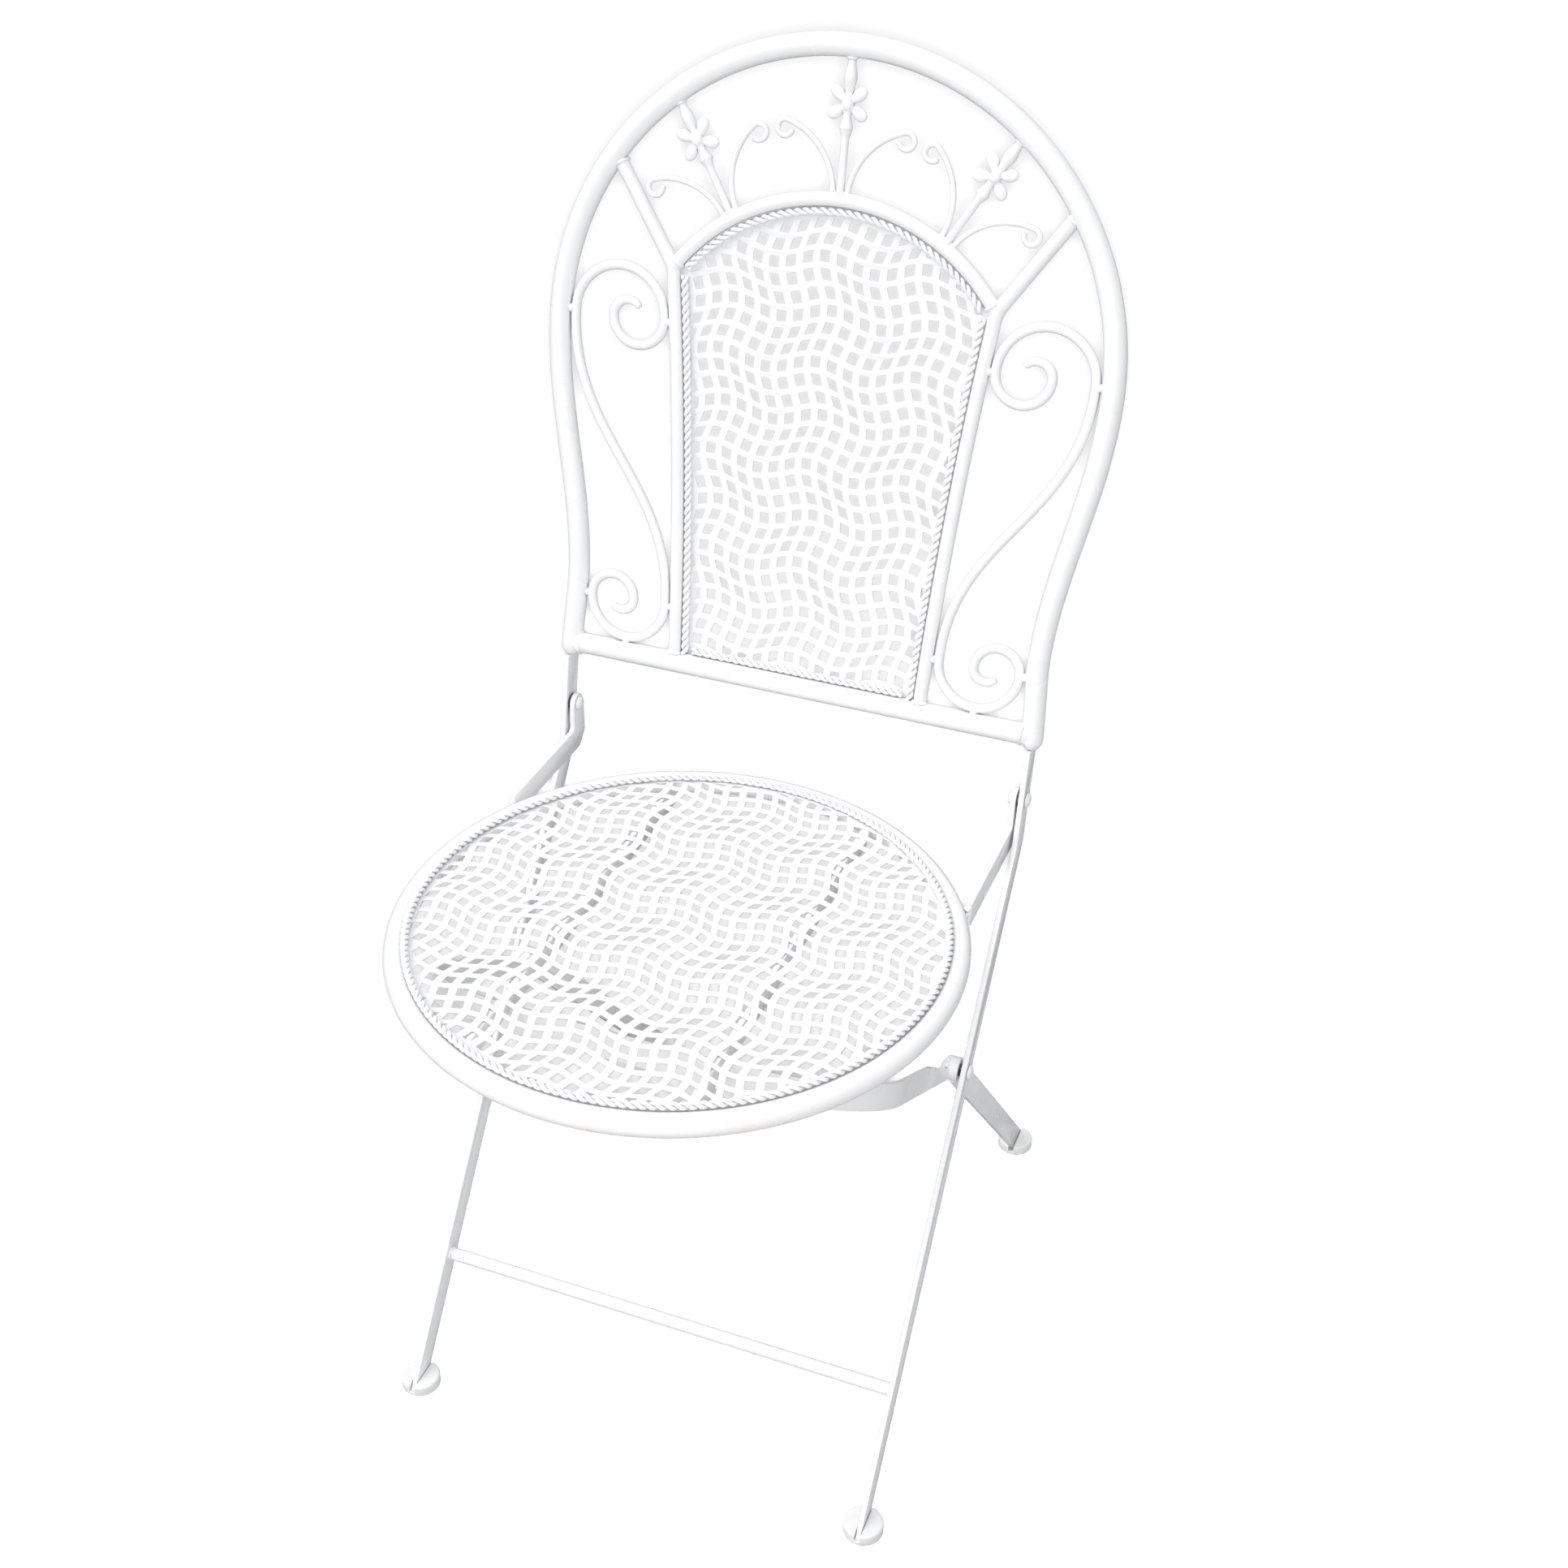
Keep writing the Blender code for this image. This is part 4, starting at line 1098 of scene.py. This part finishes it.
def rounded_rim(radius, height, edge, steps):
    """A quarter round from a flat top to a rim, as radius and height."""
    return [(radius - edge + edge * sin(angle), height - edge + edge * cos(angle))
            for angle in evenly(0, pi / 2, steps)]


def make_foot(base, x, leg_point, direction, riding):
    """A moulded pad with a softly rounded rim and a slot for the bar."""
    radius = foot_diameter / 2
    back = at_height(leg_point, direction, foot_grip).x
    profile = [(0, foot_height)] + rounded_rim(radius, foot_height, foot_edge, 8)
    profile += [(radius, foot_chamfer), (radius - foot_chamfer, 0), (0, 0)]
    body = turned_piece(profile, 64, Matrix.Translation((x, back, 0)))
    item = fine(base, body, riding, finish=foot_plastic)
    tall = foot_height * 2
    size = Matrix.Translation((x, back, foot_floor + tall / 2))
    size = size @ Matrix.Diagonal((bar_thickness + 2 * gap, foot_diameter * 1.2, tall, 1))
    body = bmesh.new()
    bmesh.ops.create_cube(body, size=1, matrix=size)
    cutter = placed("slot", meshed("slot", body))
    adjust(item.modifiers.new("slot", "BOOLEAN"), object=cutter, solver="EXACT")
    adjust(item.modifiers.new("soften", "BEVEL"), width=foot_softening, segments=2,
           limit_method="ANGLE", angle_limit=radians(50))
    mesh = evaluated(item)
    item.modifiers.clear()
    item.data = mesh
    smooth(mesh)
    bpy.data.objects.remove(cutter, do_unlink=True)


def make_rivet(base, side, pivot, inner):
    """A rivet with a domed head outside the leg and one inside."""
    shank_r = rivet_shank / 2
    outer = leg_half + bar_thickness / 2 + gap
    dome = [(rivet_head / 2 * sin(angle) ** 0.9, rivet_head_height * cos(angle))
            for angle in evenly(0, pi / 2, 10)]
    profile = [(r, outer + h) for r, h in dome] + [(shank_r, outer), (shank_r, inner)]
    profile += [(r, inner - h) for r, h in dome[::-1]]
    matrix = Matrix.Translation((0, *pivot)) @ Matrix.Rotation(side * pi / 2, 4, "Y")
    fine(base, turned_piece(profile, 36, matrix), "frame")


def make_washer(base, x, pivot, diameter, thickness):
    loops = [circle(radius) for radius in (diameter / 2, pivot_hole_r)]
    matrix = Matrix.Translation((0, *pivot)) @ side_matrix(x)
    body = plate(loops, thickness, matrix, washer_bevel)
    # Painted shadow: the washer's near-black colour makes its rim read as a shaded slit
    fine(base, body, "frame", finish=gap_shadow_paint)


def make_stretcher():
    half = leg_inner_x - gap
    path = [vec(half, *stretcher_point), vec(-half, *stretcher_point)]
    rod("stretcher", resampled(path, rod_step), stretcher_rod, "frame", "front_stretcher", 20)
    body = bmesh.new()
    for side in (1, -1):
        at = vec(side * (leg_inner_x - stretcher_weld_inset), *stretcher_point)
        weld(body, at, vec(side, 0, 0), stretcher_rod / 2, thin_bead, side + 4)
    show("stretcher_welds", body, "frame", sharp=80)


def solve_arch_tilt():
    across = lower_pivot_back + crown_forward
    rise = seat_rail_bottom + notch_depth - gap - lower_pivot_height
    tilt = atan2(rise, across)
    for _ in range(40):
        top = (bar_width * cos(tilt) + bar_thickness * sin(tilt)) / 2
        tilt = atan2(rise - top, across)
    return tilt


arch_tilt = solve_arch_tilt()
arch_reach = (lower_pivot_back + crown_forward) / cos(arch_tilt)


def make_seat_rail(side, word):
    x = side * seat_rail_spacing / 2
    outer = abs(x) + bar_thickness / 2
    half = sqrt((ring_r - ring_tube_r - gap) ** 2 - outer ** 2)
    sine, cosine = sin(arch_tilt), cos(arch_tilt)
    crown_z = lower_pivot_height + arch_reach * sine
    along = (seat_rail_bottom - crown_z - bar_thickness / 2 * sine) / cosine
    face = along * sine - bar_thickness / 2 * cosine
    front = face - crown_forward - gap / cosine
    rear = (bar_width * sine + bar_thickness * cosine) / 2 - crown_forward + notch_play
    shelf = seat_rail_bottom + notch_depth
    low = seat_rail_bottom
    corners = ((-half, seat_rail_top), (-half, low), (front, low), (front, shelf), (rear, shelf),
               (rear + notch_ramp, low), (half, low), (half, seat_rail_top))
    loop = [side_point(back, height) for back, height in corners]
    bar(word + "_seat_rail", [loop], x, "seat", seat_rail_bevel)
    return half


def make_arm(side, word):
    half = bar_width / 2
    head = arm_head_width / 2
    inner_face = arm_x - bar_thickness / 2 - gap
    tip = seat_y + sqrt(ring_outer_r ** 2 - inner_face ** 2)
    low, high = ring_z - half, ring_z + half
    front, rear = upper_pivot.x - half, upper_pivot.x + half
    kink = upper_pivot.y - head - 2 * (half - head)
    inner = filleted([vec(tip, high), vec(front, high), vec(front, kink)], arm_bend_radius, 8)
    arm = vec(-head, 0)
    outline = [vec(tip, low)] + inner + [upper_pivot + arm]
    outline += [upper_pivot + turned(arm, angle) for angle in evenly(0, -pi, 24)[1:-1]]
    outline += [upper_pivot - arm, vec(rear, kink)]
    outline += [vec(rear, low + arm_corner_cut), vec(rear - arm_corner_cut, low)]
    loops = [outline, circle(pivot_hole_r, center=upper_pivot)]
    bar(word + "_seat_arm", loops, side * arm_x, "seat")
    return tip


def make_seat():
    rod("seat_ring", seat_circle(ring_r, ring_z, 200), ring_tube, "seat", sides=28, cyclic=True)
    make_seat_sheet()
    welds = bmesh.new()
    up = vec(0, 0, 1)
    for side, word in sides:
        half = make_seat_rail(side, word)
        tip = make_arm(side, word)
        for step in range(3):
            at = vec(side * (arm_x - bar_thickness * 0.3), tip + arm_nub_lift,
                     ring_z + arm_nub_step * (step - 1))
            nub(welds, at, up, arm_nub, side * 3 + step, 1.1)
        for end in (1, -1):
            at = vec(side * seat_rail_spacing / 2, seat_y + end * half, seat_rail_top - rail_nub_drop)
            nub(welds, at, up, rail_nub, side * 5 + end, 1.2)
    show("seat_welds", welds, "seat", sharp=80)


def make_rear_leg(side, word):
    """A flat bar whose top is hollowed to lie against the bush."""
    foot = at_height(rear_foot, rear_leg_direction, foot_floor + gap)
    clear = bush_r + gap
    start = bush_r / 2
    down = -rear_leg_direction
    turn = acos(start / clear)
    heading = atan2(down.y, down.x)
    outline = bar_outline([lower_pivot + down * start, foot], rear_bar_width, down)
    hollow = arc(lower_pivot, clear, heading - turn, heading + turn, 30)
    bar(word + "_rear_leg", [outline + hollow], side * rear_leg_x, "rear_legs")


def make_bush(side, word):
    half = bush_length / 2
    profile = [(pivot_hole_r, half)] + rounded_rim(bush_r, half, bush_edge, 6)
    profile += [(r, -h) for r, h in profile[::-1]]
    matrix = Matrix.Translation((side * bush_x, *lower_pivot)) @ Matrix.Rotation(pi / 2, 4, "Y")
    body = turned_piece(profile, 40, matrix, closed=True)
    fine(word + "_bush", body, "rear_legs", word + "_pivot_bush")


def make_support_arch():
    """A flat bar bent on its face, narrower at both ends, that carries the seat."""
    start = bush_r * 0.95
    bend = arch_reach - arch_corner_radius
    reaches = evenly(start, arch_neck_length, 24) + evenly(arch_neck_length, bend, 8)[1:-1]
    right = [vec(arch_x, reach) for reach in reaches]
    right += arc(vec(arch_x - arch_corner_radius, bend), arch_corner_radius, 0, pi / 2, 40)
    path = right + mirrored(right, -1)[::-1]
    matrix = Matrix.Translation((0, *lower_pivot)) @ Matrix.Rotation(pi - arch_tilt, 4, "X")
    side = bar_thickness / 2
    inside = side - flat_bevel
    low = bar_width / 2
    body = bmesh.new()
    rings = []
    for point, normal in zip(path, path_normals(path)):
        share = min(point.y / arch_neck_length, 1)
        high = arch_neck_depth * (1 + cos(pi * share)) / 2 - low
        section = ((side, low - flat_bevel), (inside, low), (-inside, low), (-side, low - flat_bevel),
                   (-side, high + flat_bevel), (-inside, high), (inside, high),
                   (side, high + flat_bevel))
        rings.append([body.verts.new(matrix @ vec(*(point + normal * across), height))
                      for across, height in section])
    skin(body, rings)
    bmesh.ops.recalc_face_normals(body, faces=body.faces)
    fine("support_arch", body, "rear_legs", sharp=35)


def make_rear_welds():
    body = bmesh.new()
    tilt = vec(0, -cos(arch_tilt), sin(arch_tilt))
    down = vec(0, *-rear_leg_direction)
    rows = ((rear_leg_x + leg_nub_shift, down, 1, (-0.9, -0.45, 0.45, 0.9), leg_nub, 4),
            (arch_x, tilt, -1, (-0.2, 0.3, 0.75), arch_nub, 6))
    for side in (1, -1):
        for x, line, turn, spreads, size, seed in rows:
            for spread in spreads:
                way = Matrix.Rotation(turn * spread, 3, "X") @ line
                at = vec(side * x, *lower_pivot) + way * (bush_r + nub_lift)
                nub(body, at, way, size, side * seed + spread, 1.2)
    show("rear_welds", body, "rear_legs", sharp=80)


make_back_frame()
make_back_sheet()
make_trims()
make_scrolls()
for sprig_word, sprig_turn in sprigs:
    make_sprig(sprig_word, sprig_turn)
make_back_welds()
make_stretcher()
make_seat()
make_support_arch()
make_rear_welds()
for side, word in sides:
    make_front_leg(side, word)
    make_foot(word + "_front_foot", side * leg_half, front_foot, leg_direction, "frame")
    make_rivet(word + "_seat_rivet", side, upper_pivot, arm_x - bar_thickness / 2 - gap)
    make_rivet(word + "_leg_rivet", side, lower_pivot, bush_x - bush_length / 2 - gap)
    make_washer(word + "_seat_washer", side * upper_washer_x, upper_pivot, upper_washer,
                upper_washer_thickness)
    make_washer(word + "_leg_washer", side * lower_washer_x, lower_pivot, lower_washer,
                lower_washer_thickness)
    make_rear_leg(side, word)
    make_bush(side, word)
    make_foot(word + "_rear_foot", side * rear_leg_x, rear_foot, rear_leg_direction, "rear_legs")


# Floor, light and camera

def make_stage():
    """The floor: one triangle that reaches past every view."""
    mesh = bpy.data.meshes.new("floor")
    mesh.from_pydata([(-60, -30, 0), (60, -30, 0), (0, 60, 0)], [], [(0, 1, 2)])
    made, tree, shader = material("floor")
    to_camera = add_node(tree, "LightPath", {}).outputs["Is Camera Ray"]
    brighter = tuple(value * 1.006 for value in floor_color)
    color = ramp(tree, cloudy(tree, 1.5), ((0.3, floor_color), (0.7, brighter)))
    # Glow towards the camera alone: it evens out the fill lamp, which strikes the far floor flatter
    place = add_node(tree, "NewGeometry", {}).outputs["Position"]
    apart = add_node(tree, "VectorMath", {0: place, 1: camera_place}, operation="DISTANCE")
    share = computed(tree, "DIVIDE", camera_place[2], apart.outputs["Value"])
    lit_floor = floor_color[0] * (sky_strength + key_strength * key_from[2] / pi)
    glow = floor_behind_sheets - lit_floor
    seen_fill = (floor_fill_power + fill_power) * floor_color[0] * sheet_open_share
    even = mapped(tree, share, 0, 1, glow, glow - seen_fill, clamp=False)
    wire(tree, shader, {
        "Base Color": mixed(tree, to_camera, (*floor_in_bounces, 1), color),
        "Roughness": 0.9, "Specular IOR Level": 0.1, "Emission Color": (1, 1, 1, 1),
        "Emission Strength": computed(tree, "MULTIPLY", even, to_camera, use_clamp=True)})
    mesh.materials.append(made)
    floor = placed("floor", mesh)
    floor.location.z = -gap
    return floor


def add_lamp(name, kind, place, **settings):
    lamp = placed(name, adjust(bpy.data.lights.new(name, kind), **settings))
    lamp.location = place
    return lamp


def make_fill(name, power):
    """A lamp at the camera's place, as strong near as far."""
    lamp = add_lamp(name, "POINT", camera_place, energy=1, shadow_soft_size=fill_size, use_nodes=True)
    tree = lamp.data.node_tree
    falloff = add_node(tree, "LightFalloff", {"Strength": power * 4 * pi ** 2})
    wire(tree, tree.nodes["Emission"], {"Strength": falloff.outputs["Constant"]})
    return lamp


def light_only(lamp, lit):
    """Lets a lamp light one object alone."""
    chosen = bpy.data.collections.new("lit_by_" + lamp.name)
    chosen.objects.link(lit)
    lamp.light_linking.receiver_collection = chosen


def make_light(floor):
    world = bpy.data.worlds.new("studio")
    world.use_nodes = True
    tree = world.node_tree
    path = add_node(tree, "LightPath", {}).outputs
    strength = mapped(tree, path["Is Glossy Ray"], 0, 1, sky_strength, sky_in_gloss)
    wire(tree, tree.nodes["Background"], {
        "Color": (*sky_color, 1),
        "Strength": computed(tree, "MAXIMUM", strength, path["Is Camera Ray"])})
    bpy.context.scene.world = world
    key = add_lamp("key", "SUN", (0, 0, 0), energy=key_strength, angle=radians(key_angle),
                   color=key_color)
    key.rotation_euler = Vector(key_from).to_track_quat("Z", "Y").to_euler()
    warm = add_lamp("warm_bounce", "AREA", warm_place, energy=warm_power, size=warm_size,
                    color=warm_color)
    aim = vec(0, seat_y, ring_z) - Vector(warm_place)
    warm.rotation_euler = aim.to_track_quat("-Z", "Y").to_euler()
    light_only(warm, bpy.data.objects["seat_ring_fine"])
    make_fill("fill", fill_power)
    light_only(make_fill("floor_fill", floor_fill_power), floor)


def make_camera():
    turn, rise, roll = camera_azimuth, camera_elevation, camera_roll
    forward = vec(-sin(turn) * cos(rise), cos(turn) * cos(rise), -sin(rise))
    flat = vec(cos(turn), sin(turn), 0)
    down = forward.cross(flat)
    right = flat * cos(roll) + down * sin(roll)
    down = down * cos(roll) - flat * sin(roll)
    data = adjust(bpy.data.cameras.new("camera"), lens=camera_lens, sensor_width=36, clip_start=0.01)
    camera = placed("camera", data)
    rotation = Matrix((right, -down, -forward)).transposed().to_4x4()
    camera.matrix_world = Matrix.Translation(camera_place) @ rotation
    bpy.context.scene.camera = camera


make_light(make_stage())
make_camera()
bpy.context.scene.view_settings.view_transform = "Standard"
